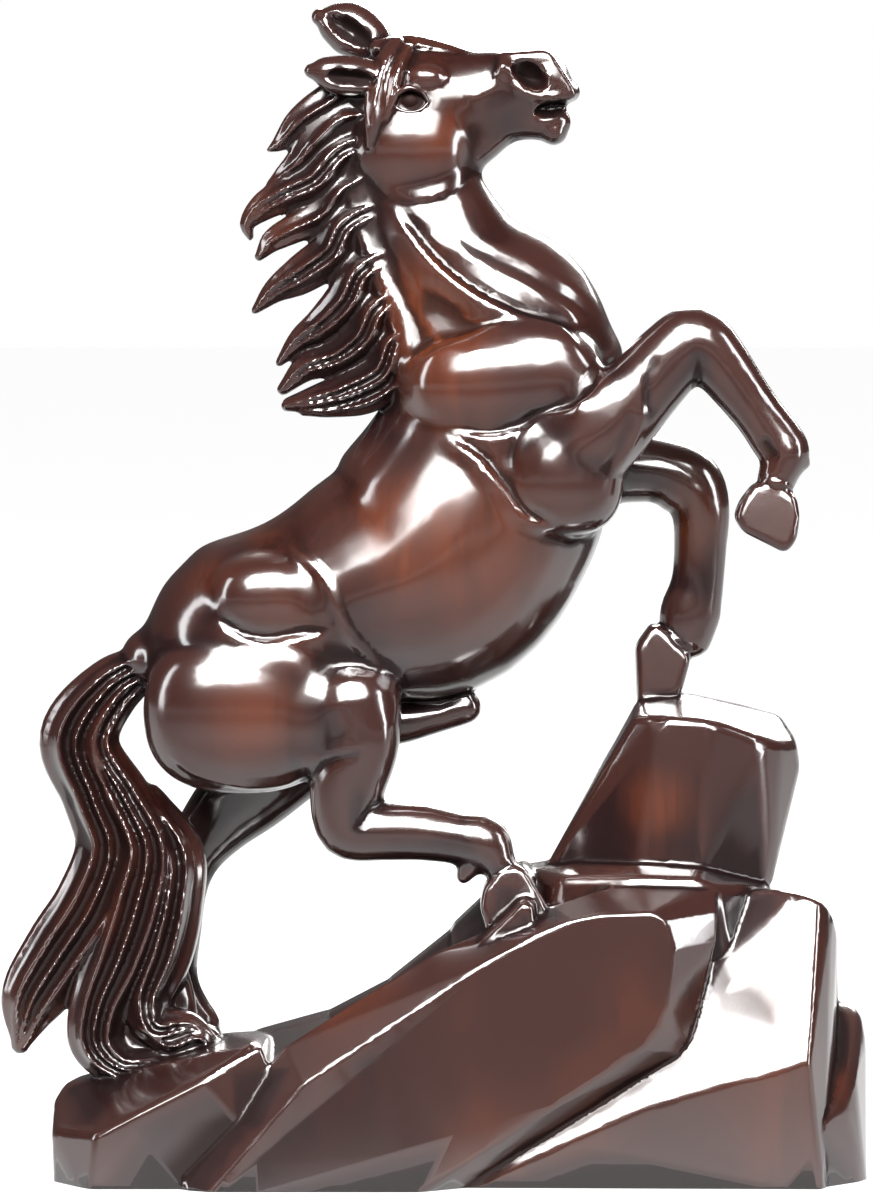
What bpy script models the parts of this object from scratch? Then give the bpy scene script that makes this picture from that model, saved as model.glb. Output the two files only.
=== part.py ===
"""Rearing horse on its rock, carved from one block of dark polished hardwood.

The figure is drawn in millimetres on a side view DRAWN_HEIGHT high, and scaled to HEIGHT.
x runs towards the horse's head, z up from the underside, and y away from the side with the near legs,
so the near legs have negative y. A row of a limb is (x, z, y, radius in the side view, half width).
"""

import math

import bmesh
import bpy
import numpy as np
from mathutils import Matrix

# Sizes in metres
HEIGHT = 0.400
ROCK_DEPTH = 0.106
HORSE_WIDTH = 0.078
ROCK_EDGE = 0.0022

# The same sizes as drawn, in millimetres
DRAWN_HEIGHT = 400.7
DRAWN_ROCK_DEPTH = 106.0
DRAWN_HORSE_WIDTH = 78.0

NEAR = -1
FAR = 1
BOTH = (NEAR, FAR)
FOOT = -6.0  # how far the rock is drawn below the cut that makes its flat underside

# Wood
WOOD_COLOUR = (0.09, 0.028, 0.018)
WOOD_ROUGHNESS = 0.25

# How the limbs, muscles, hair and hooves are shaped
LIMB_SIDES = 20
BODY_SIDES = 32
LOCK_SIDES = 48
CAP_ANGLES = (30, 55, 78)  # the rings of a limb's domed end, in degrees round the dome
MUSCLE_FULLNESS = 2.5  # 2 is an ellipsoid, and more is squarer
LEG_ROOT = 3  # this many rows of a leg also belong to the body, so that the leg flows out of it
FLUTE = 0.34  # how deep the hollows of the hair are, as a share of a lock's half width
FORELOCK_FLUTES = 2
FORELOCK_DEPTH = 0.2
HOOF_TAPER = 0.3  # how much narrower a hoof is at its crown
HOOF_EDGE = 2.0
MUZZLE_HALF = 8.5
MUZZLE_EDGE = 2.4

# How the skin is made and smoothed
BODY_VOXEL = 1.9
SKIN_VOXEL = 1.2
BODY_POLISH = 14
LIMB_POLISH = 3
BLEND = 1.3  # half the breadth over which one side of a chiselled line passes into the other
LINE_TAPER = 6  # a line reaches its full depth in this part of its length
FACING_FROM = 0.1  # skin that turns away from the side view more than this is not cut
FACING_OVER = 0.3
SOFT_RIM = 1.6  # the power that shapes a hollow's rim, over 1 for a soft rim
CRISP_RIM = 0.7

# How many triangles the solid keeps, and where they are spared
TRIANGLES = 9650
KEEP_FINE = 0.006
PLAIN_WEIGHT = 1.0
FINE_WEIGHT = 0.5
FINE_ABOVE = 262.0  # the head, neck and mane lie above this height
TAIL_SIDE = -73.0  # the tail lies on this side of the rump, above the rock
TAIL_ABOVE = 38.0

# Trunk, neck and head
TRUNK = [
    (-97, 176.5, 0, 11, 13),
    (-85, 179.5, 0, 25.5, 26),
    (-70, 183, 0, 33.5, 32),
    (-46, 192, 0, 33.5, 34),
    (-23.5, 200, 0, 40.5, 37),
    (-2.5, 209, 0, 47, 39),
    (12, 228, 0, 46, 38),
    (23.5, 249.5, 0, 41.5, 34),
    (37, 266, 0, 31.5, 28),
    (46, 277.5, 0, 19, 20),
]
NECK = [
    (28.5, 251, 0, 40.5, 33),
    (23.5, 271.5, 0, 41, 30),
    (17, 292, 0, 38.5, 26),
    (4.5, 311, 0, 28.5, 21),
    (-4.5, 331.5, 0, 23, 17),
    (-10.5, 349.5, 0, 21, 13.5),
    (-16.5, 364, 0, 15.5, 11.5),
]
SKULL = [
    (-20.5, 370, 0, 12.5, 12),
    (-12, 367.5, 0, 19, 15),
    (-1.5, 365.5, 0, 20.5, 15.5),
    (10, 367.5, 0, 17.5, 13),
    (21.5, 369.5, 0, 15, 11),
    (31.5, 371.5, 0, 13, 10.5),
    (38, 373.5, 0, 10.5, 10.5),
    (41, 371.5, 0, 7, 9),
]
UPPER_LIP = [
    (33.5, 374.5, 0, 9, 9.5),
    (40.5, 372, 0, 6.5, 9),
    (46, 370, 0, 4, 7),
]
LOWER_JAW = [
    (-2.5, 346, 0, 11.5, 9),
    (11, 353.5, 0, 11.5, 8.5),
    (24, 360.5, 0, 8, 8),
    (33, 360, 0, 7, 7.5),
    (39, 359, 0, 6, 7),
    (43, 359.5, 0, 5, 6),
]
JOWL = (-8, 352, 7.5, 19.5, 10.5)

# Legs
NEAR_FORELEG = [
    (44, 244.5, -25, 18, 14),
    (57, 256.5, -28, 15.5, 13),
    (70.5, 270.5, -29, 13.5, 11),
    (80.5, 281, -29, 12.5, 10.5),
    (88, 285.5, -29, 12.5, 10),
    (95.5, 279, -29, 10.5, 9),
    (103, 269.5, -29, 9, 8),
    (109.5, 261, -29, 8.5, 7.5),
    (115.5, 253, -29, 9, 7.5),
    (118.5, 248, -29, 8.5, 8),
    (116.5, 243, -29, 7, 7.5),
    (115, 238, -29, 6.5, 7.5),
]
FAR_FORELEG = [
    (42.5, 247.5, 22, 18.5, 14),
    (60.5, 241.5, 23, 13.5, 12),
    (77, 239.5, 23, 11.5, 11),
    (87, 235, 23, 12.5, 10.5),
    (91.5, 226.5, 23, 10.5, 9.5),
    (91.5, 213.5, 23, 9, 8),
    (90.5, 200.5, 23, 9, 7.5),
    (88.5, 190.5, 23, 10.5, 8),
    (87.5, 182, 23, 9, 7.5),
]
NEAR_HINDLEG = [
    (-29, 164, -26, 16, 13),
    (-26, 150.5, -27, 14.5, 12),
    (-29.5, 135.5, -27, 13, 10.5),
    (-30, 124.5, -27, 11.5, 9.5),
    (-28, 120, -27, 10.5, 9),
    (-17.5, 119.5, -27, 10, 8.5),
    (-4, 119, -27, 9.5, 8),
    (8.5, 117, -27, 9, 7.5),
    (16.5, 115.5, -27, 9.5, 8),
    (21.5, 109, -27, 6.5, 7),
]
FAR_HINDLEG = [
    (-47.5, 150.5, 22, 22.5, 13),
    (-62.5, 130.5, 24, 16.5, 12),
    (-74.5, 119, 25, 13, 10),
    (-82.5, 107.5, 25, 10.5, 9),
    (-86, 96, 24, 8, 8),
    (-87.5, 80, 23, 7, 7),
    (-88.5, 64.5, 22, 6.5, 7),
    (-86, 53, 21, 8, 8),
    (-81.5, 47, 20, 7.5, 7),
]
SHEATH = [
    (-22, 156.5, 0, 10.5, 7),
    (-12.5, 154, 0, 7.5, 6),
    (1, 156.5, 0, 6, 5.5),
    (10.5, 159.5, 0, 6, 5.5),
    ]
# The outline of each hoof in the side view, with its middle y and half width
HOOVES = [
    (-29, 9.5, [(103, 232), (108, 238.5), (114, 239), (122, 234), (123.5, 227), (122, 218.5),
        (118.5, 214.5), (111.5, 218.5), (103.5, 222), (101, 227)]),
    (23, 10, [(69, 179), (75, 187), (79.5, 185), (88.5, 175.5), (85, 163), (70, 159)]),
    (-27, 10, [(16.5, 101), (21.5, 107.5), (27.5, 109.5), (31, 107.5), (38.5, 94.5), (35, 88.5),
        (27, 84), (18, 86.5), (15, 94.5)]),
    (18, 10, [(-88.5, 46.5), (-81, 50), (-74, 46.5), (-69.5, 33), (-90, 33)]),
]
ERGOTS = [
    [
        (13, 110.5, -27, 6, 5),
        (10, 104, -27, 2.5, 3.5),
    ],
    [
        (120.5, 249, -29, 5, 5),
        (125, 245, -29, 2, 3),
    ],
    [
        (84, 190.5, 23, 5, 5),
        (79.5, 189, 23, 2, 3),
    ],
]

# Muscles on both sides: (x, z, y, half length, half width), half height, tilt in degrees
MUSCLES = {
    "shoulder": ((23.5, 272.5, 19, 33.5, 17), 19, 7),
    "point_of_shoulder": ((42.5, 273.5, 19, 14.5, 15), 14.5, 0),
    "arm": ((44.5, 240, 23, 20, 17), 20.5, 0),
    "croup": ((-57, 199, 18, 20.5, 18), 15.5, 6),
    "thigh": ((-66, 159.5, 18, 33.5, 20), 28, 0),
    "thigh_top": ((-54, 172.5, 20, 22, 16), 15, 0),
    "thigh_front": ((-42, 157.5, 24, 15.5, 13), 20, 0),
    "stifle": ((-28, 159, 24, 17, 12), 18, 0),
}
EYE = ((-8, 367, 12.5, 4.5, 4), 4, 0)
BROW = ((-3, 375, 11, 7.5, 5), 5, 0)
NOSE = ((28.5, 375.5, 6.5, 7, 4.5), 6, -20)
CHIN = ((40.5, 356, 0, 5, 6.5), 4.5, 0)
NOSTRIL_FOLD = ((23.5, 377, 9.5, 2.5, 3), 4, 0)
# The blunt end of the nose: outline in the side view, and half widths at its root and its end
MUZZLE = [(22, 383.5), (38, 384.5), (40.5, 383), (48, 370.5), (49, 368.5), (46.5, 367), (36.5, 366),
    (25, 365.5)]

# Ears and hair
NEAR_EAR = [
    (-15.5, 374.5, -8, 4, 5),
    (-23.5, 375, -11, 6.5, 6),
    (-32, 375.5, -12, 7, 5.5),
    (-38, 377, -12, 5, 4.5),
    (-41.5, 377, -12, 2.5, 3),
]
FAR_EAR = [
    (-17.5, 381, 7, 5, 5),
    (-23, 387.5, 8, 8, 6),
    (-29.5, 392, 9, 9, 6),
    (-36, 394, 9, 6.5, 5),
    (-39, 395.5, 9, 3, 3),
]
FORELOCK = [
    [
        (-19.5, 385, -1, 3, 6),
        (-9, 386.5, -1, 3.5, 6.5),
        (1, 385, -1, 2.5, 5),
        (11, 383, -1, 1.5, 3),
    ],
    [
        (-13, 385.5, -5, 3, 5),
        (-17.5, 378, -11, 4, 5),
        (-19.5, 369.5, -14, 4, 4.5),
        (-21, 360, -15, 3, 4),
        (-22.5, 351, -14.5, 1, 2),
    ],
    [
        (-9, 384, -7, 2, 4),
        (-12.5, 376.5, -12.5, 2.5, 4.5),
        (-14.5, 368.5, -15, 2.5, 4),
        (-16.5, 360.5, -15, 1, 2),
    ],
]
# The rounded rim of the neck, which overlaps the roots of the mane
CREST = [
    (-19.5, 366.5, 3, 5, 6),
    (-25.5, 355.5, 3.5, 5, 6),
    (-27.5, 340.5, 4.5, 5, 6.5),
    (-24.5, 324.5, 5.5, 6, 7.5),
    (-18, 307.5, 7.5, 6.5, 8.5),
    (-10.5, 291, 9.5, 7, 9.5),
    (-7, 273.5, 12.5, 7.5, 10),
    (-4.5, 259.5, 15, 7, 10),
]
# Locks of the mane, from crest to tip, and how many flutes each has
MANE = [
    (2, [
        (-16.5, 369.5, 3, 5, 5),
        (-27.5, 370.5, 4, 7, 6.5),
        (-38, 365, 4.5, 6.5, 6.5),
        (-46, 360, 4.5, 5, 6),
        (-52, 353, 4.5, 3, 4.5),
        (-56.5, 350.5, 4.5, 1, 2.5),
    ]),
    (2, [
        (-18, 362.5, 4, 5, 5),
        (-31, 361, 5, 7, 7),
        (-40, 353.5, 5.5, 7, 7),
        (-46, 346, 5.5, 5, 6),
        (-52, 341.5, 5, 3, 4),
        (-56.5, 339, 5, 1, 2.5),
    ]),
    (3, [
        (-18, 355, 4, 5.5, 5),
        (-31.5, 349.5, 5.5, 7, 7.5),
        (-40.5, 340, 6, 7.5, 8),
        (-51, 335.5, 6, 6, 6.5),
        (-59, 330.5, 5.5, 5, 5),
        (-64, 325, 5, 2.5, 4),
        (-63, 320.5, 5, 1, 2.5),
    ]),
    (2, [
        (-17.5, 344, 4, 5, 5),
        (-31, 337.5, 5.5, 7, 7.5),
        (-38, 328.5, 6, 6.5, 7.5),
        (-47.5, 323.5, 6.5, 5, 6.5),
        (-55, 319.5, 6, 4, 5),
        (-59.5, 314, 5.5, 1.5, 3),
    ]),
    (3, [
        (-15.5, 332.5, 5, 5.5, 6),
        (-29.5, 325, 7, 7, 9),
        (-35, 315.5, 7.5, 7.5, 9),
        (-45.5, 308, 7.5, 7, 7.5),
        (-54.5, 302.5, 7, 4.5, 5.5),
        (-61, 295.5, 6.5, 1.5, 3),
    ]),
    (3, [
        (-11.5, 317, 6, 6, 7),
        (-24.5, 309.5, 8, 7.5, 10),
        (-30, 299, 8.5, 8, 9.5),
        (-38, 291, 8.5, 6.5, 8),
        (-46, 285.5, 8, 4, 5.5),
        (-53, 278, 7.5, 1.5, 3),
    ]),
    (3, [
        (-8.5, 304, 7, 6, 7),
        (-19.5, 296.5, 9, 7, 10.5),
        (-24.5, 286.5, 9.5, 7, 10),
        (-33, 280, 9.5, 6, 8.5),
        (-43.5, 276.5, 9, 5, 6.5),
        (-51.5, 269, 8.5, 2, 4),
    ]),
    (3, [
        (-6, 291.5, 8, 6, 8),
        (-14, 284.5, 10, 6.5, 10.5),
        (-18, 275, 10.5, 7, 10),
        (-30, 269, 10.5, 6, 8.5),
        (-41, 265.5, 10, 4.5, 6.5),
        (-50.5, 263.5, 9.5, 2, 4),
    ]),
    (2, [
        (-10, 281, 10, 4, 7),
        (-13.5, 271, 10.5, 4, 8),
        (-23, 264.5, 10.5, 4, 7.5),
        (-35.5, 262, 10.5, 2.5, 5),
        (-45, 261.5, 10, 1.5, 3),
    ]),
]
TAIL = [
    (4, [
        (-94.5, 175.5, 0, 6, 9),
        (-110.5, 168, 0, 9, 12),
        (-122.5, 149.5, 0, 13, 13),
        (-117, 129.5, 0, 11.5, 13),
        (-111, 111.5, 0, 12.5, 12),
        (-117, 92.5, -1, 13.5, 12),
        (-128, 75, -1, 13.5, 11),
        (-138, 59, -2, 11.5, 9),
        (-142.5, 43.5, -2, 3.5, 4),
    ]),
    (4, [
        (-94.5, 175, 0, 5, 6),
        (-108.5, 162, 0, 6, 8),
        (-115.5, 147, -1, 7.5, 9.5),
        (-105.5, 129, -2, 9, 11.5),
        (-98, 112, -3, 11.5, 13),
        (-101.5, 93, -4, 13.5, 13),
        (-108, 74.5, -5, 13, 12),
        (-114.5, 58, -6, 10.5, 11),
        (-115.5, 45, -7, 9.5, 10),
        (-106.5, 37, -9, 7, 9),
        (-92.5, 38.5, -11, 4.5, 7),
    ]),
    (3, [
        (-98.5, 127.5, 0, 6, 8),
        (-88, 110.5, -1, 9, 11.5),
        (-88.5, 93, -2, 9.5, 14),
        (-93, 76, -3, 10.5, 14),
        (-98.5, 60.5, -5, 9, 12),
        (-95, 50.5, -8, 7.5, 11),
        (-83.5, 51.5, -10, 4.5, 8),
        (-76, 46, -11, 2.5, 5),
    ]),
    (2, [
        (-99, 49.5, -9, 3.5, 7),
        (-90.5, 45, -12, 4, 7),
        (-81, 48, -13, 3.5, 6),
        (-78, 43.5, -13, 3, 5),
        (-85, 39, -13, 2.5, 5),
        (-81, 35.5, -12, 1.5, 4),
    ]),
]
TAIL_FOOT = [
    (-98.5, 92.5, 3, 10.5, 6),
    (-100, 72, 2, 14.5, 7),
    (-98.5, 53.5, 0, 17, 8),
    (-98.5, 37.5, -2, 15, 9),
]

# Rock: the corners (x, y, z) of each convex block
LEFT_BLOCK = [
    (-129.5, -28, FOOT), (-117, -46, FOOT), (-40, -46, FOOT), (-129, 28, FOOT), (-112, 48, FOOT),
    (-40, 48, FOOT),
    (-130.5, -28, 17.5), (-114.5, -46, 18.5), (-78, -46, 37), (-59, -42, 49.5),
    (-131, -8, 24.5), (-127.5, 0, 30), (-123, 8, 31), (-117.5, 14, 30.5), (-130.5, 30, 16.5),
    (-114.5, 48, 21),
    (-72.5, 2, 47), (-60, 6, 47.5), (-54, 16, 46), (-62, 48, 24.5),
]
SLAB = [
    (-81, -53, FOOT), (-14.5, -53, FOOT), (-88.5, -44, FOOT), (1, -43, FOOT),
    (-44, -50.5, 36.5), (18, -47, 77.5), (26.5, -46.5, 82), (36.5, -46.5, 87.5), (46.5, -46, 91.5),
    (56.5, -46, 93.5),
    (73.5, -45.5, 94), (77.5, -46, 91), (81, -46.5, 82), (80.5, -47, 76), (78.5, -48.5, 63),
    (75, -49, 54.5),
    (70.5, -49.5, 48.5), (41.5, -51, 29.5), (4.5, -52.5, 9),
    (-87, -43, 9), (-51, -41, 48), (1, -36, 80), (21.5, -34, 88.5), (40.5, -32, 95), (55, -29, 99.5),
    (69, -25, 102.5), (89, -25, 102.5), (95, -28, 100), (96, -34, 92.5), (95.5, -36, 83.5),
    (89.5, -38.5, 60.5),
    (86, -40, 50), (82, -40.5, 45), (55, -42, 31), (28, -43, 15.5), (9.5, -43, 4),
    (-40, -10, 35.5), (56, 0, 72.5), (86.5, -10, 46),
]
# The crest of the slope behind the hindquarters, and the slope's section as (y, drop below the crest)
RIDGE = [(-61.5, 47.5), (-35.5, 54.5), (-12.5, 66.5), (9.5, 85.5), (30, 106.5)]
RIDGE_SECTION = [(-41, 9), (-4, 0), (12, 0), (50, 30)]
RIDGE_LAP = 4.0  # how far the stones of the slope reach into one another
PEAK_FOOT = [
    (21.5, -24, FOOT), (117, -24, FOOT), (21.5, 50, FOOT), (114, 50, FOOT),
    (30, 4, 103.5), (29.5, 22, 103), (47, -12, 106.5), (69, -20, 107), (89.5, -22, 105.5),
    (115, -10, 98),
    (42, -22, 103.5), (69, -29, 104), (89, -29, 103.5), (95, -29, 100.5),
    (117.5, 42, 92.5), (43, 50, 91), (56, 10, 108.5), (104, 10, 108.5), (105.5, 36, 106),
    (56.5, 36, 106),
]
PEAK = [
    (38, -2, 105), (40, 36, 102.5), (58.5, 4, 140), (59, 36, 139), (68, -7, 157), (70, 14, 161),
    (71, 34, 159.5),
    (77.5, -13, 157.5), (95, -14, 156), (111.5, -9, 149.5), (87, 20, 163), (88, 36, 161.5),
    (105.5, 22, 159), (106, 36, 157.5),
    (69, -16, 103), (89.5, -17, 101), (118.5, -2, 147), (119, 20, 155.5), (119.5, 34, 154),
    (124.5, 8, 146.5), (125.5, 32, 146),
    (126, 10, 137.5), (127, 32, 137), (124, 8, 128), (115, -6, 98.5), (117.5, 40, 93.5),
    (92, 48, 94.5), (84.5, 42, 148),
]
RIGHT_BLOCK = [
    (-2.5, -42.5, FOOT), (131.5, -46, FOOT), (136.5, -20, FOOT), (136.5, 40, FOOT), (124, 50, FOOT),
    (-2.5, 48, FOOT),
    (92.5, -14, 84.5), (101.5, -19.5, 78), (120, -25, 75.5), (131.5, -31, 70), (129.5, -38, 58.5),
    (126.5, -47.5, 44),
    (68.5, -45, 27), (129, -46, 23),
    (94, -12, 92.5), (101.5, -16, 97), (114.5, -20, 99.5), (124.5, -24.5, 98), (130.5, -26, 96),
    (135, -22, 91.5),
    (137.5, -16, 83), (138, -10, 74), (138, -14, 59), (140.5, 30, 53.5), (140, 30, 78),
    (127.5, 34, 91.5),
    (105.5, 36, 92), (71, 46, 53), (127, 48, 49),
]
BACK_BLOCK = [
    (-98, 40, FOOT), (-98, 53, FOOT), (11.5, 53, FOOT), (69.5, 53, FOOT), (69.5, 30, FOOT),
    (-98, 20, FOOT),
    (-86, 40, 18.5), (-37.5, 36, 36.5), (11.5, 36, 68), (43, 38, 92.5), (64, 48, 87.5), (71, 53, 52),
    (43, 53, 20), (-37.5, 53, 2.5), (-83, 50, -0.5),
]
BACK_SLAB = [
    (42, 53, FOOT), (110.5, 53, FOOT), (137.5, 40, FOOT), (137.5, 10, FOOT), (42, 10, FOOT),
    (57, 46, 74), (78, 46, 88), (123, 44, 67), (139.5, 30, 41), (138, 10, 43.5), (127.5, 53, 23.5),
    (71, 53, 30.5), (71, 50, 59.5), (106, 52, 52),
]
RIGHT_STEP = [
    (129, -44, FOOT), (147.5, -26, FOOT), (149, 20, FOOT), (145.5, 36, FOOT), (124, 46, FOOT),
    (137, 2, 57.5), (142.5, 2, 57), (146.5, 2, 54), (148.5, 0, 44.5), (138, 24, 55), (144, 24, 54.5),
    (148, 20, 50.5), (149, -4, 24.5), (150.5, 22, 21), (130, -44, 23.5), (139.5, -32, 26.5),
    (143.5, -22, 37.5),
    (137, -14, 44.5),
]

# Lines cut or raised along the skin of the horse, drawn on the side view: the sides they are on,
# (height and width to the left of the line, height and width to its right), and the line
LINES = [
    # Edges and cords of the neck
    (BOTH, (1.6, 11, -1.5, 5), [(51, 281.5), (43.5, 290.5), (28, 295.5), (11, 304.5), (-0.5, 314),
        (-8.5, 324), (-14, 331.5)]),
    (BOTH, (0.8, 4, 0.7, 4), [(55, 287), (41.5, 298), (24.5, 307.5), (11, 314.5), (2.5, 322)]),
    (BOTH, (0.5, 4, 0.5, 4), [(60, 289), (51, 300.5), (36.5, 310), (21.5, 317.5), (10, 323.5)]),
    (BOTH, (-0.6, 3, 0.4, 5), [(-29, 356.5), (-29.5, 343), (-26, 327.5), (-18, 310.5), (-9, 295),
        (-4.5, 282)]),
    (BOTH, (-0.7, 6, 0.6, 5), [(-6.5, 279), (4.5, 285.5), (16, 290), (28, 292.5)]),
    # Shoulder, chest and arm
    (BOTH, (1.2, 9, -1.8, 4), [(56, 278.5), (54, 271), (48, 265), (37.5, 262), (26.5, 256.5),
        (16, 254.5), (3, 258)]),
    (BOTH, (1.0, 2.5, 0.9, 2.5), [(47, 259.5), (51, 268), (55.5, 277), (62.5, 283.5)]),
    (BOTH, (1.4, 8, -1.8, 5), [(41.5, 223), (30.5, 228), (23, 237.5), (14.5, 248), (3, 254.5)]),
    (BOTH, (-0.8, 4, 0.6, 6), [(26.5, 242.5), (28, 252.5), (34.5, 259.5)]),
    # Hindquarters
    (BOTH, (0.7, 12, -2.4, 5), [(-35.5, 187.5), (-46, 186.5), (-57.5, 185), (-67, 187.5),
        (-74.5, 193)]),
    (BOTH, (1.0, 3, 1.0, 3), [(-52, 218.5), (-45, 213.5), (-37.5, 206), (-33.5, 197), (-28.5, 187),
        (-19, 176), (-12, 167.5)]),
    (BOTH, (0.9, 3, -1.0, 3), [(-91.5, 146.5), (-81.5, 139), (-66.5, 134.5), (-52, 135), (-42.5, 139)]),
    (BOTH, (0.6, 7, -1.0, 5), [(-42, 139.5), (-39, 144), (-31.5, 147), (-24, 148)]),
    # Legs
    ((NEAR,), (-1.2, 2.5, -1.2, 2.5), [(-25.5, 121.5), (-22.5, 127), (-18, 131)]),
    ((NEAR,), (0.5, 5, 0.5, 5), [(-16.5, 161), (-18, 147.5), (-22.5, 131)]),
    ((NEAR,), (0.8, 3, 0.8, 3), [(70, 266.5), (67, 252.5), (59, 240.5)]),
    ((NEAR,), (-0.8, 3, -0.8, 3), [(67, 263.5), (62, 250.5), (55.5, 240)]),
    ((NEAR,), (-0.9, 3, -0.9, 3), [(75, 282), (71.5, 271.5), (73, 260.5)]),
    ((NEAR,), (-1.3, 3, -1.3, 3), [(110, 254), (112.5, 250), (115.5, 246.5)]),
    ((FAR,), (0.8, 4, 0.8, 4), [(70, 246), (84, 239), (91, 222), (91, 194)]),
    # Face
    (BOTH, (-0.7, 6, 0.2, 6), [(14, 347.5), (10, 340.5), (0.5, 334), (-12, 333.5), (-22, 340.5),
        (-26.5, 350), (-25.5, 358)]),
    (BOTH, (0.7, 5, 0.7, 5), [(12, 366.5), (18, 370.5), (25.5, 373.5)]),
    (BOTH, (1.0, 3, -0.5, 3), [(21.5, 372), (22.5, 377), (24.5, 379.5)]),
    (BOTH, (-0.6, 6, -0.6, 6), [(3, 336), (4.5, 327.5), (1, 320.5)]),
]
# Finer lines, cut after the hair and hooves are on
FINE_LINES = [
    # Rim of the nostril, lower lip
    (BOTH, (0.9, 2.4, 0.9, 2.4), [(26, 373.5), (31, 369.5), (37, 368), (43.5, 369.5)]),
    (BOTH, (0.7, 1.6, -0.7, 1.6), [(37, 359), (40.5, 360), (44, 361)]),
    # Crowns of the hooves
    ((NEAR,), (0.9, 1.5, -1.0, 2), [(123, 236), (116.5, 239), (108.5, 240.5)]),
    ((NEAR,), (0.9, 1.5, -1.0, 2), [(16.5, 102.5), (21.5, 107), (27.5, 109), (33, 106.5)]),
    (BOTH, (0.9, 1.5, -1.0, 2), [(90.5, 176), (85, 181.5), (79.5, 185.5)]),
]


# Hollows gouged into the skin, each an ellipse in the side view with a crisp rim:
# the sides they are on, the middle, half length and half height, tilt in degrees, and depth
HOLLOWS = [
    (BOTH, (-28.5, 374.5), 9, 3, 6, 3.4),
    ((NEAR,), (-29.5, 391), 9, 4, 34, 3.6),
    ((FAR,), (-29, 392), 8, 3, 34, 2.5),
    (BOTH, (32.5, 375.5), 7, 4, 32, 6.0),
    (BOTH, (39.5, 364), 6, 2, -12, 4.5),
]
# Wide soft hollows of the same kind, sunk before the lines are cut
SOFT_HOLLOWS = [
    (BOTH, (4.5, 295), 15.5, 9, 50, 1.6),
]
# The wide scoop in the front of the right-hand rock
ROCK_HOLLOWS = [
    ((NEAR,), (103, 57), 26.5, 20, 20, 1.6),
]


def material(name, colour, roughness):
    wood = bpy.data.materials.new(name)
    wood.use_nodes = True
    shader = wood.node_tree.nodes["Principled BSDF"]
    shader.inputs["Base Color"].default_value = (*colour, 1.0)
    shader.inputs["Roughness"].default_value = roughness
    shader.inputs["Metallic"].default_value = 0.0
    return wood


def spline(rows, steps):
    """A smooth curve through rows of numbers, with the same number of steps between each two rows."""
    rows = np.array(rows, float)
    padded = np.vstack([2 * rows[0] - rows[1], rows, 2 * rows[-1] - rows[-2]])
    points = []
    for before, here, there, after in zip(padded, padded[1:], padded[2:], padded[3:]):
        for t in np.linspace(0, 1, steps, endpoint=False):
            bend = 2 * before - 5 * here + 4 * there - after
            twist = 3 * here - before - 3 * there + after
            points.append(0.5 * (2 * here + (there - before) * t + bend * t**2 + twist * t**3))
    return np.array([*points, rows[-1]])


def loft(clay, rows, sides=LIMB_SIDES, flutes=0, depth=0.0, steps=4):
    """Adds a closed tube of oval section, with domed ends, through rows of (x, z, y, radius, half width).

    Flutes are hollows with sharp ridges between them, which run along both faces of a lock of hair.
    """
    path = spline(rows, steps)
    centres = path[:, [0, 2, 1]]
    radii = path[:, 3:5]
    along = np.gradient(centres, axis=0)
    along /= np.linalg.norm(along, axis=1)[:, None]
    across = np.array([0.0, 1.0, 0.0]) - along * along[:, 1:2]
    across /= np.linalg.norm(across, axis=1)[:, None]
    square = np.cross(across, along)
    rings = list(zip(centres, radii, across, square))
    for end, sign in ((0, -1), (-1, 1)):
        cap = []
        for angle in CAP_ANGLES:
            slope = math.radians(angle)
            centre = centres[end] + sign * math.sin(slope) * min(radii[end]) * along[end]
            cap.append((centre, radii[end] * math.cos(slope), across[end], square[end]))
        rings = cap[::-1] + rings if sign < 0 else rings + cap
    turns = np.linspace(0, 2 * math.pi, sides, endpoint=False)
    tall = np.cos(turns)
    wide = np.sin(turns)
    if flutes:
        wide = wide * (1 - depth * np.abs(np.sin(flutes * math.pi * (tall + 1) / 2)))
    loops = []
    for centre, (radius, half), sideways, upwards in rings:
        ring = centre + np.outer(tall * radius, upwards) + np.outer(wide * half, sideways)
        loops.append([clay.verts.new(point) for point in ring])
    skin = [clay.faces.new(loops[0]), clay.faces.new(loops[-1])]
    for low, high in zip(loops, loops[1:]):
        for i in range(sides):
            skin.append(clay.faces.new((low[i - 1], low[i], high[i], high[i - 1])))
    bmesh.ops.recalc_face_normals(clay, faces=skin)


def on_side(rows, side):
    """The rows of a limb, moved to one side of the horse."""
    return [(x, z, y * side, radius, half) for x, z, y, radius, half in rows]


def ball(clay, shape, side=FAR, fullness=2.0):
    """Adds a rounded mass: ((x, z, y, half length, half width), half height, tilt in the side view)."""
    (x, z, y, long, wide), tall, tilt = shape
    mass = bmesh.ops.create_uvsphere(clay, u_segments=28, v_segments=18, radius=1.0)["verts"]
    for point in mass:
        point.co /= sum(abs(value) ** fullness for value in point.co) ** (1 / fullness)
    place = Matrix.Translation((x, y * side, z)) @ Matrix.Rotation(-math.radians(tilt), 4, "Y")
    bmesh.ops.transform(clay, matrix=place @ Matrix.Diagonal((long, wide, tall, 1.0)), verts=mass)


def stone(clay, corners, edge):
    """Adds a convex block with softened edges."""
    block = bmesh.new()
    for corner in corners:
        block.verts.new(corner)
    bmesh.ops.convex_hull(block, input=block.verts[:])
    loose = [v for v in block.verts if not v.link_faces]
    bmesh.ops.delete(block, geom=loose, context="VERTS")
    bmesh.ops.dissolve_limit(block, angle_limit=math.radians(4), verts=block.verts[:], edges=block.edges[:])
    bmesh.ops.bevel(block, geom=block.edges[:], offset=edge, segments=2, affect="EDGES", clamp_overlap=True)
    mesh = bpy.data.meshes.new("block")
    block.to_mesh(mesh)
    block.free()
    clay.from_mesh(mesh)
    bpy.data.meshes.remove(mesh)


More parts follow.
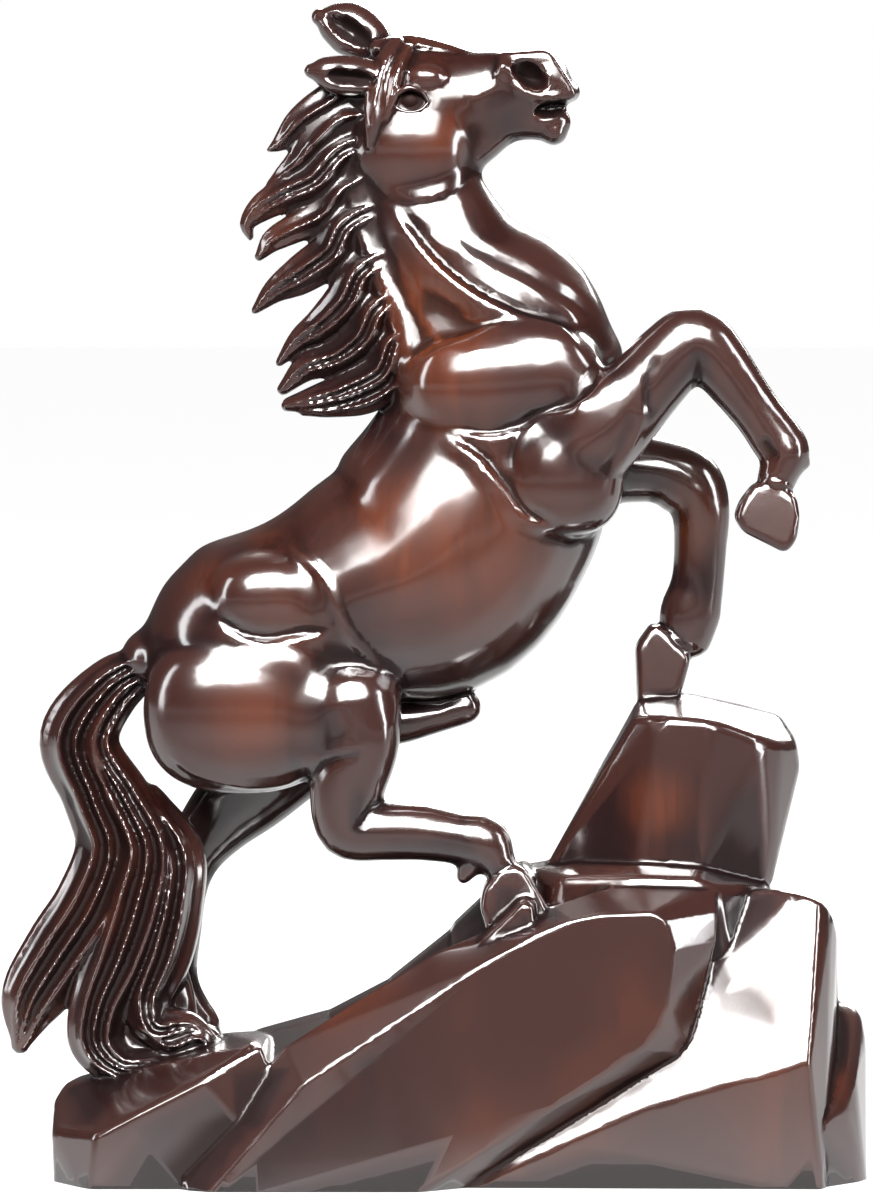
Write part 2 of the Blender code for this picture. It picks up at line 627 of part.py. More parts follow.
def evaluated(lump):
    """The object's mesh after its modifiers. The object itself is removed."""
    bpy.context.view_layer.update()
    graph = bpy.context.evaluated_depsgraph_get()
    result = bpy.data.meshes.new_from_object(lump.evaluated_get(graph))
    bpy.data.objects.remove(lump)
    return result


def modified(mesh, kind, **settings):
    """The mesh after one modifier."""
    lump = bpy.data.objects.new("lump", mesh)
    bpy.context.collection.objects.link(lump)
    modifier = lump.modifiers.new(kind, kind)
    for setting, value in settings.items():
        setattr(modifier, setting, value)
    return evaluated(lump)


def fused(clay, voxel, polish):
    """Makes overlapping closed shapes one skin and smooths it."""
    mesh = bpy.data.meshes.new("clay")
    clay.to_mesh(mesh)
    clay.free()
    skin = modified(mesh, "REMESH", mode="VOXEL", voxel_size=voxel)
    return modified(skin, "SMOOTH", factor=0.5, iterations=polish)


def clay_of(mesh):
    clay = bmesh.new()
    clay.from_mesh(mesh)
    return clay


def point_array(mesh, what):
    values = np.empty(len(mesh.vertices) * 3)
    mesh.vertices.foreach_get(what, values)
    return values.reshape(-1, 3)


def profile(span, height, width):
    """How far the skin moves this far from a line: a ridge is rounded and a cut is sharp."""
    share = np.clip(1 - span / width, 0, 1)
    return height * (share**2 * (3 - 2 * share) if height > 0 else share**1.6)


def facing(normals, side):
    """1 where the skin faces one side of the horse, 0 where it turns away, and a ramp between."""
    return np.clip((normals[:, 1] * side - FACING_FROM) / FACING_OVER, 0, 1)


def chisel(mesh, lines):
    """Raises the skin on one side of each line and cuts it on the other, or the same on both sides."""
    points = point_array(mesh, "co")
    normals = point_array(mesh, "normal")
    moves = np.zeros(len(points))
    for sides, (left, left_width, right, right_width), drawn in lines:
        line = spline(drawn, 8)
        reach = max(left_width, right_width)
        within = (points[:, [0, 2]] > line.min(axis=0) - reach).all(axis=1)
        within &= (points[:, [0, 2]] < line.max(axis=0) + reach).all(axis=1)
        heading = np.gradient(line, axis=0)
        for side in sides:
            touched = np.flatnonzero(within & (normals[:, 1] * side > FACING_FROM))
            offsets = points[touched][:, None, [0, 2]] - line[None]
            spans = np.linalg.norm(offsets, axis=2)
            nearest = spans.argmin(axis=1)
            offset = offsets[np.arange(len(touched)), nearest]
            course = heading[nearest]
            square = course[:, 0] * offset[:, 1] - course[:, 1] * offset[:, 0]
            square /= np.linalg.norm(course, axis=1)
            at_end = (nearest == 0) | (nearest == len(line) - 1)
            span = np.where(at_end, spans.min(axis=1), np.abs(square))
            on_left = np.clip(0.5 + square / (2 * BLEND), 0, 1)
            rise = on_left * profile(span, left, left_width)
            rise += (1 - on_left) * profile(span, right, right_width)
            through = nearest / (len(line) - 1)
            rise = rise * np.clip(LINE_TAPER * np.minimum(through, 1 - through), 0, 1)
            moves[touched] += rise * facing(normals[touched], side)
    mesh.vertices.foreach_set("co", (points + normals * moves[:, None]).ravel())
    mesh.update()


def gouge(mesh, hollows, rim):
    """Sinks hollows into the skin. A rim power under 1 gives a crisp rim, and one over 1 a soft rim."""
    points = point_array(mesh, "co")
    normals = point_array(mesh, "normal")
    moves = np.zeros(len(points))
    for sides, centre, long, tall, tilt, depth in hollows:
        turn = math.radians(tilt)
        offset = points[:, [0, 2]] - centre
        along = (offset[:, 0] * math.cos(turn) - offset[:, 1] * math.sin(turn)) / long
        square = (offset[:, 0] * math.sin(turn) + offset[:, 1] * math.cos(turn)) / tall
        inside = np.clip(1 - along**2 - square**2, 0, 1) ** rim
        for side in sides:
            moves = np.minimum(moves, -depth * inside * facing(normals, side))
    mesh.vertices.foreach_set("co", (points + normals * moves[:, None]).ravel())
    mesh.update()


def model_masses():
    """The trunk, neck, head and muscles as one flowing form."""
    clay = bmesh.new()
    for rows in (TRUNK, NECK, SKULL, LOWER_JAW):
        loft(clay, rows, BODY_SIDES)
    for rows in (NEAR_FORELEG, FAR_FORELEG, NEAR_HINDLEG, FAR_HINDLEG):
        loft(clay, rows[:LEG_ROOT])
    for side in BOTH:
        ball(clay, (JOWL, JOWL[3], 0), side)
        for shape in MUSCLES.values():
            ball(clay, shape, side, MUSCLE_FULLNESS)
        loft(clay, on_side(CREST, side))
    return clay


def model_limbs(clay):
    for rows in (NEAR_FORELEG, FAR_FORELEG, NEAR_HINDLEG, FAR_HINDLEG, SHEATH, UPPER_LIP, *ERGOTS):
        loft(clay, rows)
    for side in BOTH:
        for shape in (NOSE, BROW, NOSTRIL_FOLD):
            ball(clay, shape, side)
    ball(clay, CHIN)
    stone(clay, [(x, MUZZLE_HALF * side, z) for x, z in MUZZLE for side in BOTH], MUZZLE_EDGE)


def model_hooves(clay):
    """Blocks with softened edges that narrow towards the crown."""
    for y, half, outline in HOOVES:
        low = min(z for x, z in outline)
        tall = max(z for x, z in outline) - low
        corners = []
        for x, z in outline:
            wide = half * (1 - HOOF_TAPER * (z - low) / tall)
            corners += [(x, y - wide, z), (x, y + wide, z)]
        stone(clay, corners, HOOF_EDGE)


def model_hair(clay):
    """Ears, forelock, mane and tail."""
    for ear in (NEAR_EAR, FAR_EAR):
        loft(clay, ear)
    for rows in FORELOCK:
        loft(clay, rows, LIMB_SIDES, FORELOCK_FLUTES, FORELOCK_DEPTH)
    for flutes, rows in MANE:
        for side in BOTH:
            loft(clay, on_side(rows, side), LOCK_SIDES, flutes, FLUTE)
    for flutes, rows in TAIL:
        loft(clay, rows, LOCK_SIDES, flutes, FLUTE)
    loft(clay, TAIL_FOOT)


def model_rock(clay, edge):
    for corners in (LEFT_BLOCK, SLAB, PEAK_FOOT, PEAK, RIGHT_BLOCK, BACK_BLOCK, BACK_SLAB, RIGHT_STEP):
        stone(clay, corners, edge)
    for (x, z), (next_x, next_z) in zip(RIDGE, RIDGE[1:]):
        low_end = (x - RIDGE_LAP, z - RIDGE_LAP / 2)
        high_end = (next_x + RIDGE_LAP, next_z - RIDGE_LAP / 2)
        corners = []
        for at, high in (low_end, (x, z), (next_x, next_z), high_end):
            corners += [(at, y, high - drop) for y, drop in RIDGE_SECTION]
            corners += [(at, RIDGE_SECTION[0][0], FOOT), (at, RIDGE_SECTION[-1][0], FOOT)]
        stone(clay, corners, edge)


def carved():
    """The whole carving as one skin, in millimetres."""
    unit = HEIGHT / DRAWN_HEIGHT
    clay = clay_of(fused(model_masses(), BODY_VOXEL, BODY_POLISH))
    model_limbs(clay)
    body = fused(clay, SKIN_VOXEL, LIMB_POLISH)
    gouge(body, SOFT_HOLLOWS, SOFT_RIM)
    chisel(body, LINES)
    body = modified(body, "SMOOTH", factor=0.5, iterations=1)
    clay = clay_of(body)
    model_hair(clay)
    model_hooves(clay)
    for side in BOTH:
        ball(clay, EYE, side)
    horse_width = HORSE_WIDTH / DRAWN_HORSE_WIDTH / unit
    bmesh.ops.scale(clay, vec=(1.0, horse_width, 1.0), verts=clay.verts[:])
    horse_points = len(clay.verts)
    model_rock(clay, ROCK_EDGE / unit)
    clay.verts.ensure_lookup_table()
    rock_depth = ROCK_DEPTH / DRAWN_ROCK_DEPTH / unit
    bmesh.ops.scale(clay, vec=(1.0, rock_depth, 1.0), verts=clay.verts[horse_points:])
    skin = fused(clay, SKIN_VOXEL, 1)
    gouge(skin, HOLLOWS, CRISP_RIM)
    chisel(skin, FINE_LINES)
    return modified(skin, "SMOOTH", factor=0.5, iterations=1)


def thinned(skin):
    """The mesh with few triangles on the rock and the round body, and more on the head and hair."""
    block = bpy.data.objects.new("block", skin)
    bpy.context.collection.objects.link(block)
    plain = block.vertex_groups.new(name="plain")
    plain.add(range(len(skin.vertices)), PLAIN_WEIGHT, "REPLACE")
    for point in skin.vertices:
        in_tail = point.co.x < TAIL_SIDE and point.co.z > TAIL_ABOVE
        if in_tail or point.co.z > FINE_ABOVE:
            plain.add([point.index], FINE_WEIGHT, "REPLACE")
    modifier = block.modifiers.new("Fewer", "DECIMATE")
    modifier.ratio = TRIANGLES / (2 * len(skin.polygons))
    modifier.vertex_group = plain.name
    modifier.vertex_group_factor = KEEP_FINE
    return evaluated(block)


def cut_flat(skin):
    """Cuts the carving flat at the height of its underside."""
    clay = clay_of(skin)
    everything = clay.verts[:] + clay.edges[:] + clay.faces[:]
    bmesh.ops.bisect_plane(clay, geom=everything, plane_co=(0, 0, 0), plane_no=(0, 0, 1), clear_inner=True)
    rim = [edge for edge in clay.edges if edge.is_boundary]
    bmesh.ops.contextual_create(clay, geom=rim)
    mesh = bpy.data.meshes.new("statue")
    clay.to_mesh(mesh)
    clay.free()
    return mesh


def bring_to_size(mesh):
    """Centres the carving over the origin, stands it on z = 0 and makes it HEIGHT tall."""
    points = point_array(mesh, "co")
    low = points.min(axis=0)
    high = points.max(axis=0)
    points -= ((low[0] + high[0]) / 2, (low[1] + high[1]) / 2, low[2])
    mesh.vertices.foreach_set("co", (points * HEIGHT / (high[2] - low[2])).ravel())


def main():
    for obj in list(bpy.data.objects):
        bpy.data.objects.remove(obj)
    mesh = cut_flat(thinned(carved()))
    bring_to_size(mesh)
    statue = bpy.data.objects.new("rearing_horse_and_rock", mesh)
    bpy.context.collection.objects.link(statue)
    mesh.materials.clear()
    mesh.materials.append(material("dark_hardwood", WOOD_COLOUR, WOOD_ROUGHNESS))
    mesh.shade_smooth()


main()
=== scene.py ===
"""Rearing horse on its rock, carved from one block of dark polished hardwood, in a pale studio.

The carving is drawn in millimetres on a side view 400 mm high, in the same places as the solid in the frame.
x runs towards the horse's head, z up from the underside, and y away from the side with the near legs,
so the near legs have negative y. A row of a limb is (x, z, y, radius in the side view, half width).
"""

import math

import bmesh
import bpy
import numpy as np
from bpy.props import FloatProperty, FloatVectorProperty, PointerProperty
from mathutils import Matrix, Vector


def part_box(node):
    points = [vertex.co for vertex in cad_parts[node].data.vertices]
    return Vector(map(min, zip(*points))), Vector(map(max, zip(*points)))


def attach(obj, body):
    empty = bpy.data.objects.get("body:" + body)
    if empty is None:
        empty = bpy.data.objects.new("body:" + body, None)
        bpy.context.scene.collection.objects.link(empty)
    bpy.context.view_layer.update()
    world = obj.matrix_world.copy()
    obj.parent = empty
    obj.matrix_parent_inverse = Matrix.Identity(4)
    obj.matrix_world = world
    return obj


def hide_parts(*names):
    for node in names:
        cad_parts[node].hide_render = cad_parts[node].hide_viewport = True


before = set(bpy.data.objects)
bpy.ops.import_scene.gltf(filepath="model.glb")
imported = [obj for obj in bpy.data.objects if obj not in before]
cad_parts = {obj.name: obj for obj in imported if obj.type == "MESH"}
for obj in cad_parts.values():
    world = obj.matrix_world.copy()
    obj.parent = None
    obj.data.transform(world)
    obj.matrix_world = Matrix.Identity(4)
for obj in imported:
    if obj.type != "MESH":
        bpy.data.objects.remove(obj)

bl_info = {
    "name": "Rearing horse carving",
    "version": (1, 0, 0),
    "blender": (4, 5, 0),
    "location": "3D View > Sidebar > Carving",
    "description": "Carves a rearing horse on its rock from dark polished hardwood and sets it in a studio",
    "category": "Object",
}

SOLID = "rearing_horse_and_rock"
SOLID_LOW, SOLID_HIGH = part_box(SOLID)
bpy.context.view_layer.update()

# The drawing's own sizes, in millimetres
DRAWN_HEIGHT = 400.7
DRAWN_ROCK_DEPTH = 106.0
DRAWN_HORSE_WIDTH = 78.0

NEAR = -1
FAR = 1
BOTH = (NEAR, FAR)
FOOT = -6.0  # how far the rock is drawn below the cut that makes its flat underside

# Detail
FLUTE = 0.42  # how deep the hollows of the hair are, as a share of a lock's half width
FLUTE_SWERVE = 0.05  # how uneven the hollows of the hair are
BLEND = 1.0  # half the breadth over which one side of a chiselled line passes into the other
BODY_VOXEL = 1.6
SKIN_VOXEL = 0.85
BODY_POLISH = 20
LIMB_POLISH = 8
MUZZLE_HALF = 8.5
HOOF_TAPER = 0.3  # how much narrower a hoof is at the crown
HOOF_EDGE = 2.2
MUZZLE_EDGE = 2.4
LIMB_SIDES = 24
LEAST_RADIUS = 0.4  # the thinnest that the tip of a lock or a lid may be
CAP_SLOPES = (0.52, 0.96, 1.36)  # the rings of a limb's domed end, in radians round the dome
FLUTE_POINTS = 10  # points across each hollow of the hair
FLUTE_ROUND = 0.8  # the power that rounds a hollow of the hair
LOCK_STEPS = 8
LOCK_SWERVE = 5  # how often a hollow swerves across the breadth of a lock
FORELOCK_FLUTES = 2
FORELOCK_DEPTH = 0.25
LID_STEPS = 6
MUSCLE_FULLNESS = 2.5  # 2 is an ellipsoid, and more is squarer
LEG_ROOT = 3  # this many rows of a leg also belong to the body, so that the leg flows out of it
LINE_STEPS = 12
LINE_TAPER = 6  # a line reaches its full depth in this part of its length
FACING_FROM = 0.1  # skin that turns away from the side view more than this is not cut
FACING_OVER = 0.3
SOFT_RIM = 1.6  # the power that shapes a hollow's rim, over 1 for a soft rim
CRISP_RIM = 0.7
TRIANGLES = 190000
INSET = 0.00005  # how far the carving stays inside the solid's box

# Trunk, neck and head
TRUNK = [
    (-97.1, 176.6, 0, 10.9, 13),
    (-85.1, 179.6, 0, 25.6, 26),
    (-70.1, 183.1, 0, 33.5, 32),
    (-45.8, 192, 0, 33.5, 34),
    (-23.6, 200.2, 0, 40.7, 37),
    (-2.7, 208.8, 0, 46.8, 39),
    (12, 227.9, 0, 45.8, 38),
    (23.5, 249.5, 0, 41.4, 34),
    (36.8, 266.2, 0, 31.4, 28),
    (46, 277.5, 0, 19.1, 20),
]
NECK = [
    (28.3, 250.8, 0, 40.3, 33),
    (23.5, 271.3, 0, 41, 30),
    (17, 291.8, 0, 38.6, 26),
    (4.4, 310.9, 0, 28.4, 21),
    (-4.4, 331.3, 0, 22.9, 17),
    (-10.6, 349.6, 0, 21.2, 13.5),
    (-16.7, 363.9, 0, 15.7, 11.5),
]
SKULL = [
    (-20.7, 370, 0, 12.3, 12),
    (-11.9, 367.3, 0, 18.8, 15),
    (-1.7, 365.6, 0, 20.5, 15.5),
    (9.9, 367.3, 0, 17.4, 13),
    (21.4, 369.7, 0, 15, 11),
    (31.6, 371.7, 0, 13, 10.5),
    (38.1, 373.4, 0, 10.3, 10.5),
    (41.2, 371.4, 0, 6.8, 9),
]
UPPER_LIP = [
    (33.7, 374.7, 0, 8.9, 9.5),
    (40.5, 372, 0, 6.5, 9),
    (45.9, 370, 0, 3.8, 7),
]
LOWER_JAW = [
    (-2.4, 346.2, 0, 11.6, 9),
    (11.2, 353.7, 0, 11.3, 8.5),
    (24.2, 360.5, 0, 8.2, 8),
    (33, 360.2, 0, 6.8, 7.5),
    (39.1, 359.1, 0, 6.2, 7),
    (42.9, 359.5, 0, 4.8, 6),
]
JOWL = (-7.9, 351.9, 7.5, 19.5, 10.5)

# Legs
NEAR_FORELEG = [
    (43.9, 244.6, -25, 17.8, 14),
    (57, 256.6, -28, 15.7, 13),
    (70.5, 270.5, -29, 13.3, 11),
    (80.6, 281.2, -29, 12.6, 10.5),
    (88, 285.6, -29, 12.3, 10),
    (95.7, 278.9, -29, 10.6, 9),
    (103.2, 269.4, -29, 9.2, 8),
    (109.6, 261, -29, 8.5, 7.5),
    (115.4, 252.9, -29, 8.9, 7.5),
    (118.4, 248.2, -29, 8.5, 8),
    (116.7, 242.8, -29, 7.2, 7.5),
    (115.1, 238, -29, 6.5, 7.5),
]
FAR_FORELEG = [
    (42.3, 247.7, 22, 18.5, 14),
    (60.3, 241.5, 23, 13.3, 12),
    (76.8, 239.7, 23, 11.3, 11),
    (87.2, 234.9, 23, 12.3, 10.5),
    (91.7, 226.3, 23, 10.3, 9.5),
    (91.7, 213.5, 23, 9.2, 8),
    (90.7, 200.7, 23, 9.2, 7.5),
    (88.3, 190.3, 23, 10.6, 8),
    (87.3, 182, 23, 8.9, 7.5),
]
NEAR_HINDLEG = [
    (-28.8, 164, -26, 16.1, 13),
    (-26.1, 150.5, -27, 14.4, 12),
    (-29.5, 135.5, -27, 13, 10.5),
    (-30.2, 124.6, -27, 11.6, 9.5),
    (-28.1, 119.9, -27, 10.3, 9),
    (-17.6, 119.5, -27, 9.9, 8.5),
    (-4.1, 119.2, -27, 9.6, 8),
    (8.5, 117.1, -27, 8.9, 7.5),
    (16.6, 115.4, -27, 9.6, 8),
    (21.4, 109, -27, 6.5, 7),
]
FAR_HINDLEG = [
    (-47.3, 150.3, 22, 22.6, 13),
    (-62.6, 130.7, 24, 16.4, 12),
    (-74.4, 118.8, 25, 13, 10),
    (-82.7, 107.6, 25, 10.3, 9),
    (-86.2, 95.9, 24, 7.9, 8),
    (-87.5, 80, 23, 6.8, 7),
    (-88.6, 64.5, 22, 6.5, 7),
    (-86.2, 53.1, 21, 8.2, 8),
    (-81.3, 47, 20, 7.5, 7),
]
SHEATH = [
    (-22.2, 156.3, 0, 10.3, 7),
    (-12.7, 154.2, 0, 7.5, 6),
    (1, 156.7, 0, 5.8, 5.5),
    (10.6, 159.7, 0, 5.8, 5.5),
    ]
# The outline of each hoof in the side view, with its middle y and half width
HOOVES = [
    (-29, 9.5, [(103.1, 232.2), (107.8, 238.3), (113.9, 238.9), (122, 234.2), (123.3, 226.8),
        (122, 218.7), (118.3, 214.6), (111.6, 218.7), (103.5, 222.1), (101.1, 226.8)]),
    (23, 10, [(69.2, 179), (75.1, 187.2), (79.5, 185.2), (88.5, 175.5), (85.1, 163.1), (70, 158.9)]),
    (-27, 10, [(16.6, 101.2), (21.3, 107.4), (27.4, 109.4), (30.8, 107.4), (38.3, 94.4),
        (34.9, 88.3), (26.8, 84.2), (17.9, 86.3), (15.2, 94.4)]),
    (18, 10, [(-88.7, 46.3), (-81.1, 49.8), (-74.2, 46.3), (-69.4, 33.1), (-90.1, 33.1)]),
]
ERGOTS = [
    [
        (13.2, 110.3, -27, 5.8, 5),
        (9.8, 104.2, -27, 2.7, 3.5),
    ],
    [
        (120.4, 248.9, -29, 4.8, 5),
        (125.2, 244.8, -29, 2.1, 3),
    ],
    [
        (83.8, 190.3, 23, 4.8, 5),
        (79.4, 189, 23, 2.1, 3),
    ],
]

# Muscles on both sides: (x, z, y, half length, half width), half height, tilt in degrees
MUSCLES = {
    "shoulder": ((23.7, 272.6, 19, 33.5, 17), 19.1, 7),
    "point_of_shoulder": ((42.3, 273.3, 19, 14.4, 15), 14.4, 0),
    "arm": ((44.4, 240.1, 23, 19.8, 17), 20.5, 0),
    "croup": ((-56.8, 199, 18, 20.5, 18), 15.7, 6),
    "thigh": ((-65.8, 159.6, 18, 33.5, 20), 28, 0),
    "thigh_top": ((-54.1, 172.6, 20, 21.9, 16), 15, 0),
    "thigh_front": ((-41.8, 157.7, 24, 15.7, 13), 19.8, 0),
    "stifle": ((-28, 159.1, 24, 17.1, 12), 17.8, 0),
}
EYE = ((-8.2, 366.9, 12.4, 4.4, 3.8), 3.8, 0)
BROW = ((-3.1, 374.8, 11, 7.5, 4.8), 4.8, 0)
NOSE = ((28.3, 375.4, 6.5, 6.8, 4.5), 5.8, -20)
CHIN = ((40.5, 356.1, 0, 4.8, 6.5), 4.4, 0)
NOSTRIL_FOLD = ((23.6, 377.1, 9.5, 2.4, 3), 4.1, 0)
# The blunt end of the nose: outline in the side view, and half widths at its root and its end
MUZZLE = [(22, 383.5), (38, 384.5), (40.3, 382.8), (48.1, 370.7), (48.8, 368.6), (46.5, 367),
    (36.6, 365.9), (24.8, 365.3)]
LIDS = [
    [
        (-14.4, 365.6, 14.6, 0.7, 1.4),
        (-12.7, 369.3, 15.8, 1.1, 1.7),
        (-8.6, 371.4, 16.4, 1.3, 1.9),
        (-4.4, 369.7, 15.8, 1, 1.6),
        (-2.1, 366.6, 14.6, 0.7, 1.3),
    ],
    [
        (-14.4, 365.6, 14.6, 0.6, 1.3),
        (-11.3, 363.8, 15, 0.7, 1.3),
        (-7.9, 363.2, 15, 0.7, 1.3),
        (-4.4, 364.2, 15, 0.7, 1.3),
        (-2.1, 366.6, 14.6, 0.6, 1.3),
    ],
]

# Ears and hair
NEAR_EAR = [
    (-15.3, 374.7, -8, 4.1, 5),
    (-23.4, 375.1, -11, 6.5, 6),
    (-32.2, 375.7, -12, 6.8, 5.5),
    (-38.2, 376.8, -12, 5.1, 4.5),
    (-41.6, 377.1, -12, 2.7, 3),
]
FAR_EAR = [
    (-17.4, 380.9, 7, 4.8, 5),
    (-22.9, 387.7, 8, 8.2, 6),
    (-29.7, 391.8, 9, 9.2, 6),
    (-35.8, 394.2, 9, 6.5, 5),
    (-39.2, 395.5, 9, 3.1, 3),
]
FORELOCK = [
    [
        (-19.4, 384.9, -1, 3.1, 6),
        (-9.2, 386.3, -1, 3.4, 6.5),
        (1, 384.9, -1, 2.7, 5),
        (11.2, 382.9, -1, 1.4, 3),
    ],
    [
        (-13.2, 385.6, -5, 3.1, 5),
        (-17.3, 378.1, -11, 4.1, 5),
        (-19.6, 369.3, -14, 4.1, 4.5),
        (-21, 359.9, -15, 3.1, 4),
        (-22.3, 351.1, -14.5, 1, 2),
    ],
    [
        (-9.2, 384.2, -7, 2.1, 4),
        (-12.5, 376.7, -12.5, 2.7, 4.5),
        (-14.5, 368.6, -15, 2.4, 4),
        (-16.6, 360.6, -15, 1, 2),
    ],
]
# The rounded rim of the neck, which overlaps the roots of the mane
CREST = [
    (-19.4, 366.6, 3, 4.8, 6),
    (-25.6, 355.7, 3.5, 4.8, 6),
    (-27.3, 340.7, 4.5, 5.1, 6.5),
    (-24.6, 324.4, 5.5, 5.8, 7.5),
    (-18.1, 307.3, 7.5, 6.5, 8.5),
    (-10.6, 290.8, 9.5, 6.8, 9.5),
    (-7.2, 273.6, 12.5, 7.5, 10),
    (-4.5, 259.7, 15, 6.8, 10),
]
# Locks of the mane, from crest to tip, and how many flutes each has
MANE = [
    (2, [
        (-16.7, 369.3, 3, 5.1, 5),
        (-27.6, 370.7, 4, 6.8, 6.5),
        (-37.8, 365.2, 4.5, 6.5, 6.5),
        (-46, 359.8, 4.5, 5.1, 6),
        (-52.2, 353, 4.5, 3.1, 4.5),
        (-56.3, 350.3, 4.5, 1, 2.5),
    ]),
    (2, [
        (-18.1, 362.5, 4, 5.1, 5),
        (-31, 361.2, 5, 6.8, 7),
        (-39.9, 353.7, 5.5, 6.8, 7),
        (-46.1, 346.2, 5.5, 5.1, 6),
        (-52.2, 341.4, 5, 3.1, 4),
        (-56.3, 339, 5, 1, 2.5),
    ]),
    (3, [
        (-18.1, 355, 4, 5.5, 5),
        (-31.7, 349.6, 5.5, 7.2, 7.5),
        (-40.6, 340, 6, 7.5, 8),
        (-50.9, 335.3, 6, 6.2, 6.5),
        (-59, 330.5, 5.5, 4.8, 5),
        (-63.8, 325.1, 5, 2.7, 4),
        (-62.8, 320.3, 5, 1, 2.5),
    ]),
    (2, [
        (-17.4, 344.1, 4, 5.1, 5),
        (-31, 337.3, 5.5, 6.8, 7.5),
        (-37.9, 328.5, 6, 6.5, 7.5),
        (-47.5, 323.7, 6.5, 5.1, 6.5),
        (-55, 319.6, 6, 4.1, 5),
        (-59.7, 314.1, 5.5, 1.7, 3),
    ]),
    (3, [
        (-15.4, 332.6, 5, 5.5, 6),
        (-29.7, 325, 7, 7.2, 9),
        (-35.2, 315.5, 7.5, 7.5, 9),
        (-45.5, 307.9, 7.5, 6.8, 7.5),
        (-54.3, 302.5, 7, 4.4, 5.5),
        (-61.2, 295.7, 6.5, 1.4, 3),
    ]),
    (3, [
        (-11.3, 316.9, 6, 6.2, 7),
        (-24.3, 309.3, 8, 7.5, 10),
        (-29.8, 299, 8.5, 7.9, 9.5),
        (-38, 290.8, 8.5, 6.5, 8),
        (-46.2, 285.4, 8, 4.1, 5.5),
        (-53, 277.9, 7.5, 1.4, 3),
    ]),
    (3, [
        (-8.5, 303.9, 7, 6.2, 7),
        (-19.5, 296.3, 9, 7.2, 10.5),
        (-24.3, 286.7, 9.5, 7.2, 10),
        (-33.2, 279.8, 9.5, 5.8, 8.5),
        (-43.5, 276.4, 9, 4.8, 6.5),
        (-51.7, 268.9, 8.5, 2.1, 4),
    ]),
    (3, [
        (-5.8, 291.5, 8, 6.2, 8),
        (-14, 284.6, 10, 6.5, 10.5),
        (-18.2, 275, 10.5, 6.8, 10),
        (-29.8, 268.8, 10.5, 5.8, 8.5),
        (-40.8, 265.4, 10, 4.4, 6.5),
        (-50.3, 263.4, 9.5, 2.1, 4),
    ]),
    (2, [
        (-9.9, 281.2, 10, 4.1, 7),
        (-13.4, 270.9, 10.5, 4.1, 8),
        (-23, 264.7, 10.5, 4.1, 7.5),
        (-35.3, 262, 10.5, 2.7, 5),
        (-44.9, 261.3, 10, 1.4, 3),
    ]),
]
TAIL = [
    (4, [
        (-94.7, 175.5, 0, 6.2, 9),
        (-110.5, 168, 0, 9.2, 12),
        (-122.5, 149.4, 0, 13, 13),
        (-116.8, 129.5, 0, 11.3, 13),
        (-111, 111.6, 0, 12.6, 12),
        (-117.2, 92.4, -1, 13.3, 12),
        (-128.2, 75.2, -1, 13.3, 11),
        (-138.2, 58.8, -2, 11.3, 9),
        (-142.3, 43.6, -2, 3.4, 4),
    ]),
    (4, [
        (-94.7, 174.8, 0, 4.8, 6),
        (-108.5, 161.8, 0, 6.2, 8),
        (-115.3, 146.8, -1, 7.5, 9.5),
        (-105.7, 129, -2, 8.9, 11.5),
        (-98.2, 111.9, -3, 11.6, 13),
        (-101.6, 92.8, -4, 13.7, 13),
        (-107.8, 74.3, -5, 13, 12),
        (-114.7, 57.9, -6, 10.6, 11),
        (-115.7, 44.9, -7, 9.6, 10),
        (-106.4, 36.9, -9, 6.8, 9),
        (-92.6, 38.6, -11, 4.4, 7),
    ]),
    (3, [
        (-98.3, 127.4, 0, 6.2, 8),
        (-88, 110.3, -1, 8.9, 11.5),
        (-88.7, 93.2, -2, 9.6, 14),
        (-92.8, 76.1, -3, 10.3, 14),
        (-98.3, 60.5, -5, 8.9, 12),
        (-94.8, 50.6, -8, 7.5, 11),
        (-83.7, 51.5, -10, 4.4, 8),
        (-76.2, 46.1, -11, 2.4, 5),
    ]),
    (2, [
        (-98.8, 49.3, -9, 3.4, 7),
        (-90.5, 44.9, -12, 3.8, 7),
        (-80.9, 47.8, -13, 3.4, 6),
        (-78.2, 43.7, -13, 3.1, 5),
        (-85, 38.8, -13, 2.7, 5),
        (-81, 35.3, -12, 1.7, 4),
    ]),
]
TAIL_FOOT = [
    (-98.5, 92.7, 3, 10.3, 6),
    (-99.9, 72.1, 2, 14.4, 7),
    (-98.5, 53.3, 0, 17.1, 8),
    (-98.5, 37.4, -2, 15, 9),
]

